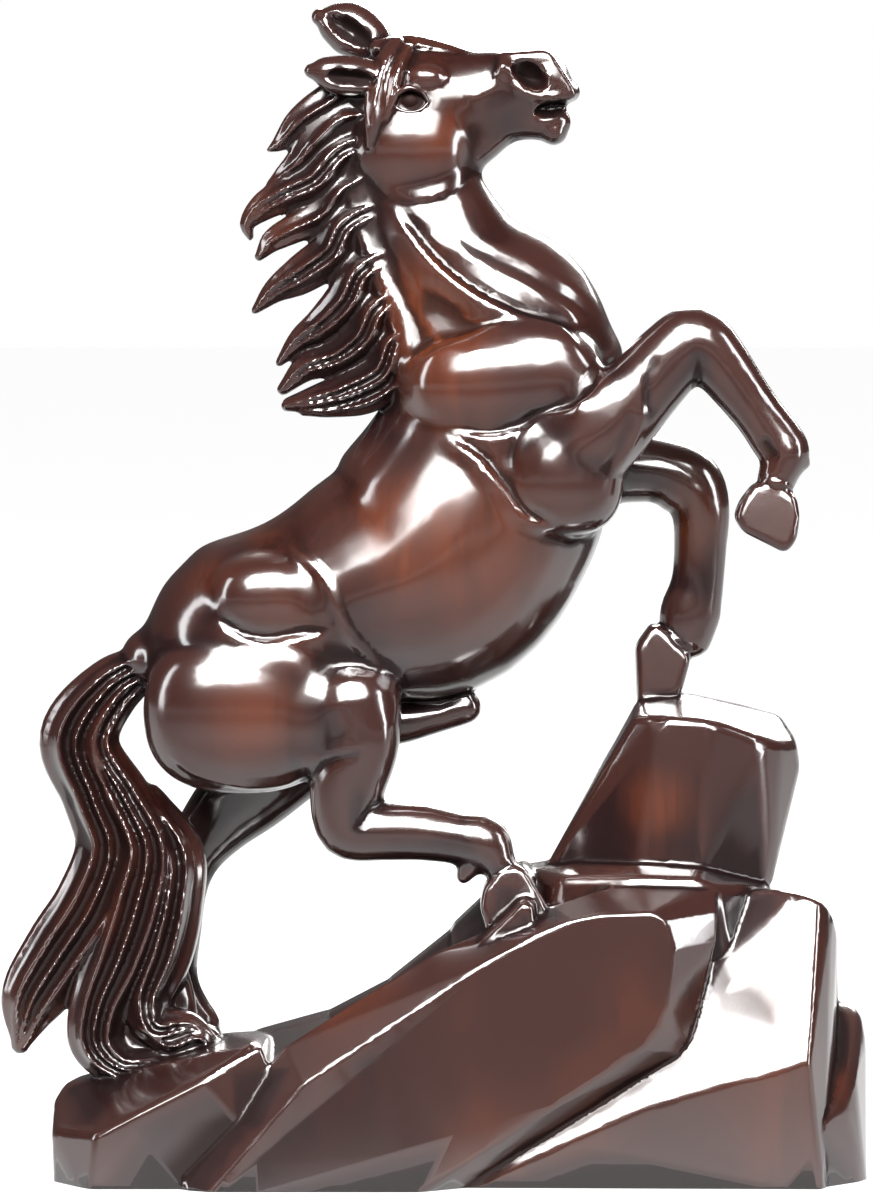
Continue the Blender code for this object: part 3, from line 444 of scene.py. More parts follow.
# Rock: the corners (x, y, z) of each convex block
LEFT_BLOCK = [
    (-129.5, -28, FOOT), (-116.9, -46, FOOT), (-40, -46, FOOT), (-128.9, 28, FOOT),
    (-111.8, 48, FOOT), (-40, 48, FOOT),
    (-130.4, -28, 17.6), (-114.7, -46, 18.5), (-78.2, -46, 37.1), (-59.1, -42, 49.5),
    (-130.8, -8, 24.4), (-127.4, 0, 29.8), (-123, 8, 31.2), (-117.7, 14, 30.7), (-130.4, 30, 16.3),
    (-114.5, 48, 20.8),
    (-72.5, 2, 47.2), (-60.2, 6, 47.4), (-54.2, 16, 46.1), (-61.9, 48, 24.3),
]
SLAB = [
    (-81, -53, FOOT), (-14.4, -53, FOOT), (-88.5, -44, FOOT), (1, -43, FOOT),
    (-44.1, -50.5, 36.4), (17.8, -47.1, 77.3), (26.6, -46.7, 82), (36.3, -46.3, 87.3),
    (46.4, -46, 91.4), (56.5, -45.8, 93.4),
    (73.4, -45.7, 94), (77.7, -46, 91), (80.8, -46.7, 82), (80.4, -47.2, 75.9), (78.4, -48.3, 62.9),
    (75, -49, 54.5),
    (70.3, -49.5, 48.5), (41.4, -51, 29.4), (4.4, -52.6, 8.9),
    (-86.8, -43, 8.8), (-51, -41, 48), (1, -36, 80), (21.3, -34, 88.3), (40.3, -32, 94.9),
    (55.2, -29, 99.6),
    (68.9, -25, 102.6), (89.2, -25, 102.3), (95.2, -28, 100.2), (96, -34, 92.7), (95.3, -36, 83.4),
    (89.5, -38.5, 60.6),
    (85.8, -40, 49.9), (82.1, -40.5, 45.2), (55, -42, 30.8), (28, -43, 15.7), (9.5, -43, 4.1),
    (-40, -10, 35.7), (55.9, 0, 72.3), (86.5, -10, 46),
]
# The crest of the slope behind the hindquarters, and the slope's section as (y, drop below the crest)
RIDGE = [(-61.5, 47.3), (-35.4, 54.6), (-12.4, 66.7), (9.3, 85.3), (29.9, 106.5)]
RIDGE_SECTION = [(-41, 9), (-4, 0), (12, 0), (50, 30)]
RIDGE_LAP = 4.0  # how far the stones of the slope reach into one another
PEAK_FOOT = [
    (21.5, -24, FOOT), (117.2, -24, FOOT), (21.5, 50, FOOT), (113.8, 50, FOOT),
    (29.9, 4, 103.6), (29.4, 22, 103.1), (47.1, -12, 106.7), (69, -20, 107.2), (89.3, -22, 105.7),
    (115, -10, 98.2),
    (41.8, -22, 103.3), (68.8, -29, 104.1), (89.1, -29, 103.4), (95.2, -29, 100.7),
    (117.4, 42, 92.5), (43, 50, 91), (56.1, 10, 108.5), (104.2, 10, 108.5), (105.3, 36, 105.8),
    (56.7, 36, 105.8),
]
PEAK = [
    (38, -2, 104.9), (40, 36, 102.3), (58.3, 4, 140.1), (59, 36, 138.9), (67.9, -7, 156.9),
    (69.8, 14, 161), (71.1, 34, 159.7),
    (77.3, -13, 157.4), (94.9, -14, 156.1), (111.5, -9, 149.6), (87.2, 20, 162.9),
    (87.8, 36, 161.6), (105.3, 22, 158.9), (105.9, 36, 157.7),
    (69.1, -16, 103), (89.5, -17, 101.1), (118.7, -2, 146.9), (119, 20, 155.3), (119.7, 34, 154.1),
    (124.3, 8, 146.7), (125.5, 32, 145.9),
    (125.8, 10, 137.5), (126.9, 32, 136.9), (124, 8, 128), (115.2, -6, 98.5), (117.4, 40, 93.5),
    (91.9, 48, 94.7), (84.6, 42, 147.8),
]
RIGHT_BLOCK = [
    (-2.4, -42.5, FOOT), (131.6, -46, FOOT), (136.4, -20, FOOT), (136.4, 40, FOOT),
    (124.1, 50, FOOT), (-2.4, 48, FOOT),
    (92.4, -14, 84.3), (101.4, -19.3, 78.1), (119.9, -24.8, 75.3), (131.5, -30.8, 69.9),
    (129.4, -38.2, 58.5), (126.3, -47.3, 44.1),
    (68.5, -45, 26.8), (129.1, -46, 22.9),
    (93.8, -12, 92.3), (101.5, -16, 97.2), (114.6, -20, 99.3), (124.6, -24.5, 98.1),
    (130.6, -26, 96.2), (134.9, -22, 91.4),
    (137.3, -16, 83.1), (138, -10, 74.2), (137.8, -14, 59.2), (140.3, 30, 53.7), (139.8, 30, 77.8),
    (127.5, 34, 91.7),
    (105.4, 36, 91.8), (70.9, 46, 52.8), (127, 48, 49),
]
BACK_BLOCK = [
    (-98.1, 40, FOOT), (-98.1, 53, FOOT), (11.3, 53, FOOT), (69.4, 53, FOOT), (69.4, 30, FOOT),
    (-98.1, 20, FOOT),
    (-86.2, 40, 18.4), (-37.3, 36, 36.5), (11.5, 36, 68), (42.8, 38, 92.3), (63.9, 48, 87.7),
    (71.1, 53, 51.9),
    (43.1, 53, 20.1), (-37.5, 53, 2.5), (-83.1, 50, -0.6),
]
BACK_SLAB = [
    (42, 53, FOOT), (110.4, 53, FOOT), (137.7, 40, FOOT), (137.7, 10, FOOT), (42, 10, FOOT),
    (56.9, 46, 73.9), (77.9, 46, 87.9), (123.2, 44, 67.1), (139.3, 30, 40.8), (138.2, 10, 43.4),
    (127.3, 53, 23.7),
    (71.2, 53, 30.7), (71, 50, 59.3), (106.1, 52, 52),
]
RIGHT_STEP = [
    (129.2, -44, FOOT), (147.3, -26, FOOT), (149, 20, FOOT), (145.3, 36, FOOT), (124.1, 46, FOOT),
    (137, 2, 57.6), (142.5, 2, 57.2), (146.3, 2, 54.1), (148.3, 0, 44.7), (138.2, 24, 54.8),
    (143.8, 24, 54.5),
    (148.1, 20, 50.4), (148.8, -4, 24.5), (150.4, 22, 20.9), (129.9, -44, 23.3), (139.4, -32, 26.4),
    (143.3, -22, 37.3),
    (136.9, -14, 44.5),
]

# Lines cut or raised along the skin of the horse, drawn on the side view: the sides they are on,
# (height and width to the left of the line, height and width to its right), and the line
LINES = [
    # Edges and cords of the neck
    (BOTH, (1.6, 11, -1.5, 5), [(51.1, 281.6), (43.6, 290.4), (28.1, 295.5), (11.2, 304.3),
        (-0.3, 314.1), (-8.4, 324.2), (-13.8, 331.6)]),
    (BOTH, (0.8, 4, 0.7, 4), [(55.1, 287), (41.6, 298.1), (24.7, 307.3), (11.2, 314.7), (2.4, 322.1)]),
    (BOTH, (0.5, 4, 0.5, 4), [(60, 288.8), (51.2, 300.4), (36.6, 309.8), (21.3, 317.3), (9.8, 323.4)]),
    (BOTH, (-0.6, 3, 0.4, 5), [(-28.8, 356.5), (-29.4, 343), (-26.1, 327.4), (-18, 310.5),
        (-9.2, 294.9), (-4.4, 282.1)]),
    (BOTH, (-0.7, 6, 0.6, 5), [(-6.4, 279.1), (4.4, 285.6), (15.8, 289.9), (28, 292.6)]),
    # Shoulder, chest and arm
    (BOTH, (1.2, 9, -1.8, 4), [(56.2, 278.7), (54.2, 271.2), (48.2, 265.2), (37.4, 261.8),
        (26.6, 256.4), (15.8, 254.7), (3, 257.8)]),
    (BOTH, (1.0, 2.5, 0.9, 2.5), [(47.2, 259.7), (50.9, 267.8), (55.6, 277.2), (62.3, 283.6)]),
    (BOTH, (1.4, 8, -1.8, 5), [(41.4, 223.2), (30.6, 227.9), (22.9, 237.7), (14.5, 247.8), (3, 254.5)]),
    (BOTH, (-0.8, 4, 0.6, 6), [(26.6, 242.5), (27.9, 252.6), (34.6, 259.3)]),
    # Hindquarters
    (BOTH, (0.7, 12, -2.4, 5), [(-35.4, 187.6), (-46.2, 186.6), (-57.7, 185.2), (-67.1, 187.6),
        (-74.5, 193)]),
    (BOTH, (1.0, 3, 1.0, 3), [(-52.2, 218.4), (-44.8, 213.3), (-37.4, 205.9), (-33.4, 197.1),
        (-28.7, 187), (-19.2, 176.2), (-11.8, 167.4)]),
    (BOTH, (0.9, 3, -1.0, 3), [(-91.6, 146.7), (-81.5, 138.9), (-66.6, 134.4), (-51.8, 134.8),
        (-42.3, 139.2)]),
    (BOTH, (0.6, 7, -1.0, 5), [(-42.1, 139.3), (-38.8, 144), (-31.3, 147.1), (-23.9, 148.1)]),
    # Legs
    ((NEAR,), (-1.2, 2.5, -1.2, 2.5), [(-25.3, 121.4), (-22.6, 126.8), (-17.9, 130.9)]),
    ((NEAR,), (0.5, 5, 0.5, 5), [(-16.5, 160.8), (-17.9, 147.3), (-22.6, 131)]),
    ((NEAR,), (0.8, 3, 0.8, 3), [(70.2, 266.7), (66.9, 252.6), (58.9, 240.5)]),
    ((NEAR,), (-0.8, 3, -0.8, 3), [(66.9, 263.4), (62.2, 250.6), (55.5, 239.8)]),
    ((NEAR,), (-0.9, 3, -0.9, 3), [(74.9, 282.2), (71.5, 271.5), (72.9, 260.7)]),
    ((NEAR,), (-1.3, 3, -1.3, 3), [(110, 253.9), (112.7, 249.9), (115.4, 246.5)]),
    ((FAR,), (0.8, 4, 0.8, 4), [(70.1, 246), (83.9, 239.1), (90.8, 221.8), (90.9, 194.1)]),
    # Face
    (BOTH, (-0.7, 6, 0.2, 6), [(13.9, 347.7), (9.8, 340.3), (0.3, 333.9), (-11.8, 333.6),
        (-22, 340.3), (-26.7, 349.8), (-25.4, 357.9)]),
    (BOTH, (0.7, 5, 0.7, 5), [(11.8, 366.6), (17.9, 370.7), (25.4, 373.4)]),
    (BOTH, (1.0, 3, -0.5, 3), [(21.3, 372), (22.7, 376.8), (24.7, 379.5)]),
    (BOTH, (-0.6, 6, -0.6, 6), [(3, 336.2), (4.4, 327.7), (1, 320.6)]),
]
# Finer lines, cut after the hair and hooves are on
FINE_LINES = [
    # Rim of the nostril, lower lip
    (BOTH, (0.9, 2.4, 0.9, 2.4), [(26.1, 373.4), (30.8, 369.7), (36.9, 368), (43.7, 369.7)]),
    (BOTH, (0.7, 1.6, -0.7, 1.6), [(37, 359.2), (40.4, 359.8), (43.8, 360.9)]),
    # Crowns of the hooves
    ((NEAR,), (0.9, 1.5, -1.0, 2), [(123.1, 236.1), (116.7, 239.1), (108.6, 240.5)]),
    ((NEAR,), (0.9, 1.5, -1.0, 2), [(16.6, 102.5), (21.3, 107.2), (27.4, 109.2), (32.8, 106.5)]),
    (BOTH, (0.9, 1.5, -1.0, 2), [(90.5, 176.1), (85, 181.3), (79.5, 185.4)]),
]
LEGS = (NEAR_FORELEG, FAR_FORELEG, NEAR_HINDLEG, FAR_HINDLEG)
# Hollows gouged into the skin, each an ellipse in the side view with a crisp rim:
# the sides they are on, the middle, half length and half height, tilt in degrees, and depth
HOLLOWS = [
    (BOTH, (-28.7, 374.7), 9.2, 2.9, 6, 3.4),
    ((NEAR,), (-29.6, 391.1), 9.2, 3.8, 34, 3.6),
    ((FAR,), (-29, 391.8), 8.2, 3.1, 34, 2.5),
    (BOTH, (32.5, 375.7), 7.2, 4.1, 32, 6.0),
    (BOTH, (39.3, 363.9), 5.8, 2.1, -12, 4.5),
]
# Wide soft hollows of the same kind, sunk before the lines are cut
SOFT_HOLLOWS = [
    (BOTH, (4.4, 295.2), 15.7, 8.9, 50, 1.6),
]
# The wide scoop in the front of the right-hand rock
ROCK_HOLLOWS = [
    ((NEAR,), (103.1, 57.2), 26.7, 19.8, 20, 1.6),
]
# Places where the redder heartwood shows: (x, y, z, reach), in the frame
WARM_PLACES = [
    (12, -38, 212, 46),
    (-12, -36, 222, 26),
    (-6, -20, 300, 26),
    (6, -20, 285, 26),
    (4, -30, 272, 30),
    (-84, -30, 212, 22),
    (-62, -38, 160, 24),
    (85, 18, 225, 26),
    (76, -12, 128, 17),
    (0, -14, 354, 13),
    (-30, -30, 66, 30),
]
# Places painted dark: the eyes, and painted shade in the hollows of the nostrils, mouth and ears, as (x, y,
# z) in the drawing and a reach in metres
BLACK_AND_SHADE_PLACES = [
    (0.0058, [(-8.1, -16, 367), (-8.2, 16, 366.9)]),
    (0.0062, [(31.5, -6.5, 375.4), (31.7, 6.5, 375.4)]),
    (0.0050, [(37.7, -6, 363.9), (41.7, -6, 363.9), (37.9, 6, 363.9), (41.9, 6, 363.9)]),
    (0.0055, [(-26, -15, 374.4), (-32.8, -15, 375.1), (-30.3, 3, 391.7), (-25.5, 3, 388.3)]),
]
HOLLOW_STEPS = 14  # how many times the skin is smoothed to see what lies below or above it
HOLLOW_REACH = 0.0011  # metres from the bottom of a groove to the top of a ridge

# Studio, in metres
CAMERA_AIM = (0.0, 0.0, 0.1961)
PICTURE_HEIGHT = 0.41016  # height of the picture where the carving stands
FLOOR_SIZE = 16.0
FLOOR_GLOW = (-0.3, 0.0)  # from front to back, the paper turns into a bright backdrop between these places
FLOOR_PALE = 3.2  # it is as pale this far from the carving on the other sides, and darker near it
ROOM_DARK = 0.009
ROOM_BEHIND = 0.07
ROOM_ABOVE = 0.036
# Lamps: name, place, the point it looks at, width and height, watts, spread in degrees, colour
LAMPS = [
    ("front_softbox", (0.05, -1.7, 1.3), (0.0, 0.0, 0.2), (2.2, 1.1), 55.0, 70, (1.0, 0.98, 0.96)),
    ("top_softbox", (-0.23, -1.5, 1.64), (0.0, 0.0, 0.15), (1.0, 0.7), 40.0, 90, (1.0, 1.0, 1.0)),
    ("back_softbox", (0.6, 2.0, 1.4), (0.0, 0.0, 0.2), (1.8, 1.0), 30.0, 80, (1.0, 0.98, 0.96)),
    ("left_strip", (-1.5, -0.4, 0.7), (0.0, 0.0, 0.2), (0.3, 1.2), 5.0, 120, (0.97, 0.98, 1.0)),
    ("right_strip", (1.5, -0.6, 0.6), (0.0, 0.0, 0.2), (0.3, 1.2), 9.0, 120, (0.97, 0.98, 1.0)),
]


def select_only(*objects):
    """Selects these objects and makes the first one active."""
    bpy.ops.object.select_all(action="DESELECT")
    for obj in objects:
        obj.select_set(True)
    bpy.context.view_layer.objects.active = objects[0]


def new_object(name, points, edges=(), faces=()):
    mesh = bpy.data.meshes.new(name)
    mesh.from_pydata([tuple(point) for point in points], edges, faces)
    obj = bpy.data.objects.new(name, mesh)
    bpy.context.collection.objects.link(obj)
    return obj


def modified(obj, kind, **settings):
    """Gives the object a modifier and applies it."""
    select_only(obj)
    modifier = obj.modifiers.new(kind, kind)
    for setting, value in settings.items():
        setattr(modifier, setting, value)
    bpy.ops.object.modifier_apply(modifier=modifier.name)
    return obj


def spline(rows, steps):
    """A smooth curve through rows of numbers, with the same number of steps between each two rows."""
    rows = np.array(rows, float)
    padded = np.vstack([2 * rows[0] - rows[1], rows, 2 * rows[-1] - rows[-2]])
    points = []
    for before, here, there, after in zip(padded, padded[1:], padded[2:], padded[3:]):
        for t in np.linspace(0, 1, steps, endpoint=False):
            bend = 2 * before - 5 * here + 4 * there - after
            twist = 3 * here - before - 3 * there + after
            points.append(0.5 * (2 * here + (there - before) * t + bend * t**2 + twist * t**3))
    return np.array([*points, rows[-1]])


def section(flutes, depth):
    """The outline of a limb or, with flutes, of a lock of hair with sharp ridges along both faces."""
    if not flutes:
        turns = np.linspace(0, 2 * math.pi, LIMB_SIDES, endpoint=False)
        return np.cos(turns), np.sin(turns)
    across = np.linspace(-1, 1, FLUTE_POINTS * flutes + 1)
    swerve = across + FLUTE_SWERVE * np.sin(LOCK_SWERVE * across)
    hollow = np.abs(np.sin(flutes * math.pi * (swerve + 1) / 2)) ** FLUTE_ROUND
    face = np.sqrt(1 - across**2) * (1 - depth * hollow)
    return np.concatenate([across, across[-2:0:-1]]), np.concatenate([face, -face[-2:0:-1]])


def loft(rows, steps=4, flutes=0, depth=0.0):
    """A closed tube through rows of (x, z, y, radius in the side view, half width), with domed ends."""
    path = spline(rows, steps)
    centres = path[:, [0, 2, 1]]
    radii = np.maximum(path[:, 3:5], LEAST_RADIUS)
    along = np.gradient(centres, axis=0)
    along /= np.linalg.norm(along, axis=1)[:, None]
    across = np.array([0.0, 1.0, 0.0]) - along * along[:, 1:2]
    across /= np.linalg.norm(across, axis=1)[:, None]
    square = np.cross(across, along)
    rings = list(zip(centres, radii, across, square))
    for end, sign in ((0, -1), (-1, 1)):
        cap = []
        for slope in CAP_SLOPES:
            centre = centres[end] + sign * math.sin(slope) * min(radii[end]) * along[end]
            cap.append((centre, radii[end] * math.cos(slope), across[end], square[end]))
        rings = cap[::-1] + rings if sign < 0 else rings + cap
    tall, wide = section(flutes, depth)
    sides = len(tall)
    points = []
    for centre, (radius, half), sideways, upwards in rings:
        points.extend(centre + np.outer(tall * radius, upwards) + np.outer(wide * half, sideways))
    faces = [tuple(range(sides)), tuple(range(len(points) - sides, len(points)))]
    for low in range(0, len(points) - sides, sides):
        for i in range(sides):
            j = (i + 1) % sides
            faces.append((low + i, low + j, low + sides + j, low + sides + i))
    tube = new_object("limb", points, faces=faces)
    clay = bmesh.new()
    clay.from_mesh(tube.data)
    bmesh.ops.recalc_face_normals(clay, faces=clay.faces[:])
    clay.to_mesh(tube.data)
    clay.free()
    return tube


def ball(shape, side=FAR, full=2.0):
    """A muscle: ((x, z, y, half length, half width), half height, tilt in the side view)."""
    (x, z, y, long, wide), tall, tilt = shape
    bpy.ops.object.select_all(action="DESELECT")
    bpy.ops.mesh.primitive_uv_sphere_add(segments=40, ring_count=24, radius=1.0)
    muscle = bpy.context.object
    points = point_array(muscle.data, "co")
    points /= (np.abs(points) ** full).sum(axis=1)[:, None] ** (1 / full)
    muscle.data.vertices.foreach_set("co", points.ravel())
    place = Matrix.Translation((x, y * side, z)) @ Matrix.Rotation(-math.radians(tilt), 4, "Y")
    muscle.data.transform(place @ Matrix.Diagonal((long, wide, tall, 1.0)))
    return muscle


def stone(corners, edge):
    """A convex block of rock with softened edges."""
    block = new_object("stone", corners)
    select_only(block)
    bpy.ops.object.mode_set(mode="EDIT")
    bpy.ops.mesh.select_all(action="SELECT")
    bpy.ops.mesh.convex_hull(join_triangles=False)
    bpy.ops.mesh.select_all(action="SELECT")
    bpy.ops.mesh.dissolve_limited(angle_limit=math.radians(4))
    bpy.ops.mesh.select_all(action="SELECT")
    bpy.ops.mesh.bevel(offset=edge, segments=3, affect="EDGES", clamp_overlap=True)
    bpy.ops.object.mode_set(mode="OBJECT")
    return block


def scaled(objects, across):
    """Stretches shapes in y."""
    for obj in objects:
        obj.data.transform(Matrix.Diagonal((1.0, across, 1.0, 1.0)))


def fused(shapes, voxel, polish):
    """Makes overlapping closed shapes one skin and smooths it."""
    select_only(*shapes)
    bpy.ops.object.join()
    skin = bpy.context.object
    modified(skin, "REMESH", mode="VOXEL", voxel_size=voxel)
    if polish:
        modified(skin, "SMOOTH", factor=0.5, iterations=polish)
    return skin


def point_array(mesh, what):
    values = np.empty(len(mesh.vertices) * 3, np.float32)
    mesh.vertices.foreach_get(what, values)
    return values.reshape(-1, 3).astype(float)


def facing(normals, side):
    """1 where the skin faces one side of the horse, 0 where it turns away, and a ramp between."""
    return np.clip((normals[:, 1] * side - FACING_FROM) / FACING_OVER, 0, 1)


def profile(span, height, width):
    """How far the skin moves this far from a line: a ridge is rounded and a cut is sharp."""
    share = np.clip(1 - span / width, 0, 1)
    return height * (share**2 * (3 - 2 * share) if height > 0 else share**1.6)


def chisel(skin, lines):
    """Raises the skin on one side of each line and cuts it on the other, or the same on both sides."""
    points = point_array(skin.data, "co")
    normals = point_array(skin.data, "normal")
    moves = np.zeros(len(points))
    for sides, (left, left_width, right, right_width), drawn in lines:
        line = spline(drawn, LINE_STEPS)
        reach = max(left_width, right_width)
        within = (points[:, [0, 2]] > line.min(axis=0) - reach).all(axis=1)
        within &= (points[:, [0, 2]] < line.max(axis=0) + reach).all(axis=1)
        heading = np.gradient(line, axis=0)
        for side in sides:
            touched = np.flatnonzero(within & (normals[:, 1] * side > FACING_FROM))
            offsets = points[touched][:, None, [0, 2]] - line[None]
            spans = np.linalg.norm(offsets, axis=2)
            nearest = spans.argmin(axis=1)
            offset = offsets[np.arange(len(touched)), nearest]
            course = heading[nearest]
            square = course[:, 0] * offset[:, 1] - course[:, 1] * offset[:, 0]
            square /= np.linalg.norm(course, axis=1)
            at_end = (nearest == 0) | (nearest == len(line) - 1)
            span = np.where(at_end, spans.min(axis=1), np.abs(square))
            on_left = np.clip(0.5 + square / (2 * BLEND), 0, 1)
            rise = on_left * profile(span, left, left_width)
            rise = rise + (1 - on_left) * profile(span, right, right_width)
            through = nearest / (len(line) - 1)
            rise = rise * np.clip(LINE_TAPER * np.minimum(through, 1 - through), 0, 1)
            moves[touched] += rise * facing(normals[touched], side)
    skin.data.vertices.foreach_set("co", (points + normals * moves[:, None]).ravel())
    skin.data.update()


def gouge(skin, hollows, rim):
    """Sinks hollows into the skin. A rim power under 1 gives a crisp rim, and one over 1 a soft rim."""
    points = point_array(skin.data, "co")
    normals = point_array(skin.data, "normal")
    moves = np.zeros(len(points))
    for sides, centre, long, tall, tilt, depth in hollows:
        turn = math.radians(tilt)
        offset = points[:, [0, 2]] - centre
        along = (offset[:, 0] * math.cos(turn) - offset[:, 1] * math.sin(turn)) / long
        square = (offset[:, 0] * math.sin(turn) + offset[:, 1] * math.cos(turn)) / tall
        inside = np.clip(1 - along**2 - square**2, 0, 1) ** rim
        for side in sides:
            moves = np.minimum(moves, -depth * inside * facing(normals, side))
    skin.data.vertices.foreach_set("co", (points + normals * moves[:, None]).ravel())
    skin.data.update()


def on_side(rows, side):
    """The rows of a limb, moved to one side of the horse."""
    return [(x, z, y * side, radius, half) for x, z, y, radius, half in rows]


def modelled_masses():
    """The trunk, neck, head and muscles as one flowing form."""
    shapes = [loft(rows) for rows in (TRUNK, NECK, SKULL, LOWER_JAW)]
    shapes += [loft(leg[:LEG_ROOT]) for leg in LEGS]
    for side in BOTH:
        shapes.append(ball((JOWL, JOWL[3], 0), side))
        shapes += [ball(shape, side, MUSCLE_FULLNESS) for shape in MUSCLES.values()]
        shapes.append(loft(on_side(CREST, side)))
    return shapes


def modelled_limbs():
    """The legs, and the small forms of the head that sit on its mass."""
    shapes = [loft(rows) for rows in (*LEGS, SHEATH, UPPER_LIP, *ERGOTS)]
    for side in BOTH:
        shapes += [ball(shape, side) for shape in (NOSE, BROW, NOSTRIL_FOLD)]
    muzzle = [(x, MUZZLE_HALF * side, z) for x, z in MUZZLE for side in BOTH]
    return shapes + [ball(CHIN), stone(muzzle, MUZZLE_EDGE)]


def modelled_hair_and_hooves():
    """Ears, forelock, mane and tail, and hooves that narrow towards the crown."""
    shapes = []
    for y, half, outline in HOOVES:
        low = min(z for x, z in outline)
        tall = max(z for x, z in outline) - low
        corners = []
        for x, z in outline:
            wide = half * (1 - HOOF_TAPER * (z - low) / tall)
            corners += [(x, y - wide, z), (x, y + wide, z)]
        shapes.append(stone(corners, HOOF_EDGE))
    shapes += [loft(ear) for ear in (NEAR_EAR, FAR_EAR)]
    shapes += [loft(rows, 6, FORELOCK_FLUTES, FORELOCK_DEPTH) for rows in FORELOCK]
    for flutes, rows in MANE:
        for side in BOTH:
            shapes.append(loft(on_side(rows, side), LOCK_STEPS, flutes, FLUTE))
    shapes += [loft(rows, LOCK_STEPS, flutes, FLUTE) for flutes, rows in TAIL]
    return shapes + [loft(TAIL_FOOT)]


def modelled_eyes():
    """Eyeballs and lids, which are too fine for the skin's voxels."""
    shapes = []
    for side in BOTH:
        shapes.append(ball(EYE, side))
        shapes += [loft(on_side(lid, side), LID_STEPS) for lid in LIDS]
    return shapes


def modelled_rock(edge):
    """The blocks of the rock, and the sloping ridge behind the hindquarters."""
    blocks = (LEFT_BLOCK, SLAB, PEAK_FOOT, PEAK, RIGHT_BLOCK, BACK_BLOCK, BACK_SLAB, RIGHT_STEP)
    shapes = [stone(corners, edge) for corners in blocks]
    for (x, z), (next_x, next_z) in zip(RIDGE, RIDGE[1:]):
        low_end = (x - RIDGE_LAP, z - RIDGE_LAP / 2)
        high_end = (next_x + RIDGE_LAP, next_z - RIDGE_LAP / 2)
        corners = []
        for at, high in (low_end, (x, z), (next_x, next_z), high_end):
            corners += [(at, y, high - drop) for y, drop in RIDGE_SECTION]
            corners += [(at, RIDGE_SECTION[0][0], FOOT), (at, RIDGE_SECTION[-1][0], FOOT)]
        shapes.append(stone(corners, edge))
    return shapes


def cut_underside(skin):
    """Cuts the carving flat at the height of its underside."""
    select_only(skin)
    bpy.ops.object.mode_set(mode="EDIT")
    bpy.ops.mesh.select_all(action="SELECT")
    bpy.ops.mesh.bisect(plane_co=(0, 0, 0), plane_no=(0, 0, 1), clear_inner=True, use_fill=True)
    bpy.ops.object.mode_set(mode="OBJECT")


def fit_to_solid(skin):
    """Brings the carving from the drawing's millimetres to the place and size of the solid in the frame."""
    points = point_array(skin.data, "co")
    low, high = points.min(axis=0), points.max(axis=0)
    solid_low = np.array(SOLID_LOW) + INSET
    solid_high = np.array(SOLID_HIGH) - INSET
    solid_low[2] = SOLID_LOW[2]
    points = solid_low + (points - low) * (solid_high - solid_low) / (high - low)
    skin.data.vertices.foreach_set("co", points.ravel())
    skin.data.update()


def mark_hollows(skin):
    """Stores how far each point stands out from the smoothed skin: grooves are 0 and ridges are 1."""
    mesh = skin.data
    points = point_array(mesh, "co")
    normals = point_array(mesh, "normal")
    ends = np.empty(len(mesh.edges) * 2, np.int32)
    mesh.edges.foreach_get("vertices", ends)
    ends = ends.reshape(-1, 2)
    count = np.bincount(ends.ravel(), minlength=len(points))[:, None]
    smooth = points.copy()
    for _ in range(HOLLOW_STEPS):
        total = np.zeros_like(smooth)
        for axis in range(3):
            total[:, axis] = np.bincount(ends[:, 0], smooth[ends[:, 1], axis], len(points))
            total[:, axis] += np.bincount(ends[:, 1], smooth[ends[:, 0], axis], len(points))
        smooth = total / count
    stand = ((points - smooth) * normals).sum(axis=1)
    values = np.clip(0.5 + stand / HOLLOW_REACH, 0, 1).astype(np.float32)
    attribute = mesh.attributes.new("relief", "FLOAT", "POINT")
    attribute.data.foreach_set("value", values)


def carved(settings):
    """The whole carving as one skin."""
    unit = (SOLID_HIGH[2] - SOLID_LOW[2]) / DRAWN_HEIGHT
    skin = fused(modelled_masses(), BODY_VOXEL, BODY_POLISH)
    skin = fused([skin, *modelled_limbs()], SKIN_VOXEL, LIMB_POLISH)
    gouge(skin, SOFT_HOLLOWS, SOFT_RIM)
    chisel(skin, LINES)
    modified(skin, "SMOOTH", factor=0.5, iterations=3)
    horse = [skin, *modelled_hair_and_hooves()]
    scaled(horse, settings.horse_width / DRAWN_HORSE_WIDTH / unit)
    rock = modelled_rock(settings.rock_edge / unit)
    scaled(rock, settings.rock_depth / DRAWN_ROCK_DEPTH / unit)
    skin = fused(horse + rock, SKIN_VOXEL, 1)
    gouge(skin, ROCK_HOLLOWS, SOFT_RIM)
    gouge(skin, HOLLOWS, CRISP_RIM)
    chisel(skin, FINE_LINES)
    modified(skin, "SMOOTH", factor=0.5, iterations=1)
    modified(skin, "DECIMATE", ratio=TRIANGLES / (2 * len(skin.data.polygons)))
    eyes = modelled_eyes()
    scaled(eyes, settings.horse_width / DRAWN_HORSE_WIDTH / unit)
    for shape in eyes:
        modified(skin, "BOOLEAN", operation="UNION", solver="MANIFOLD", object=shape)
        bpy.data.objects.remove(shape)
    cut_underside(skin)
    fit_to_solid(skin)
    select_only(skin)
    bpy.ops.object.shade_smooth()
    modified(skin, "WEIGHTED_NORMAL", mode="FACE_AREA_WITH_ANGLE")
    return skin


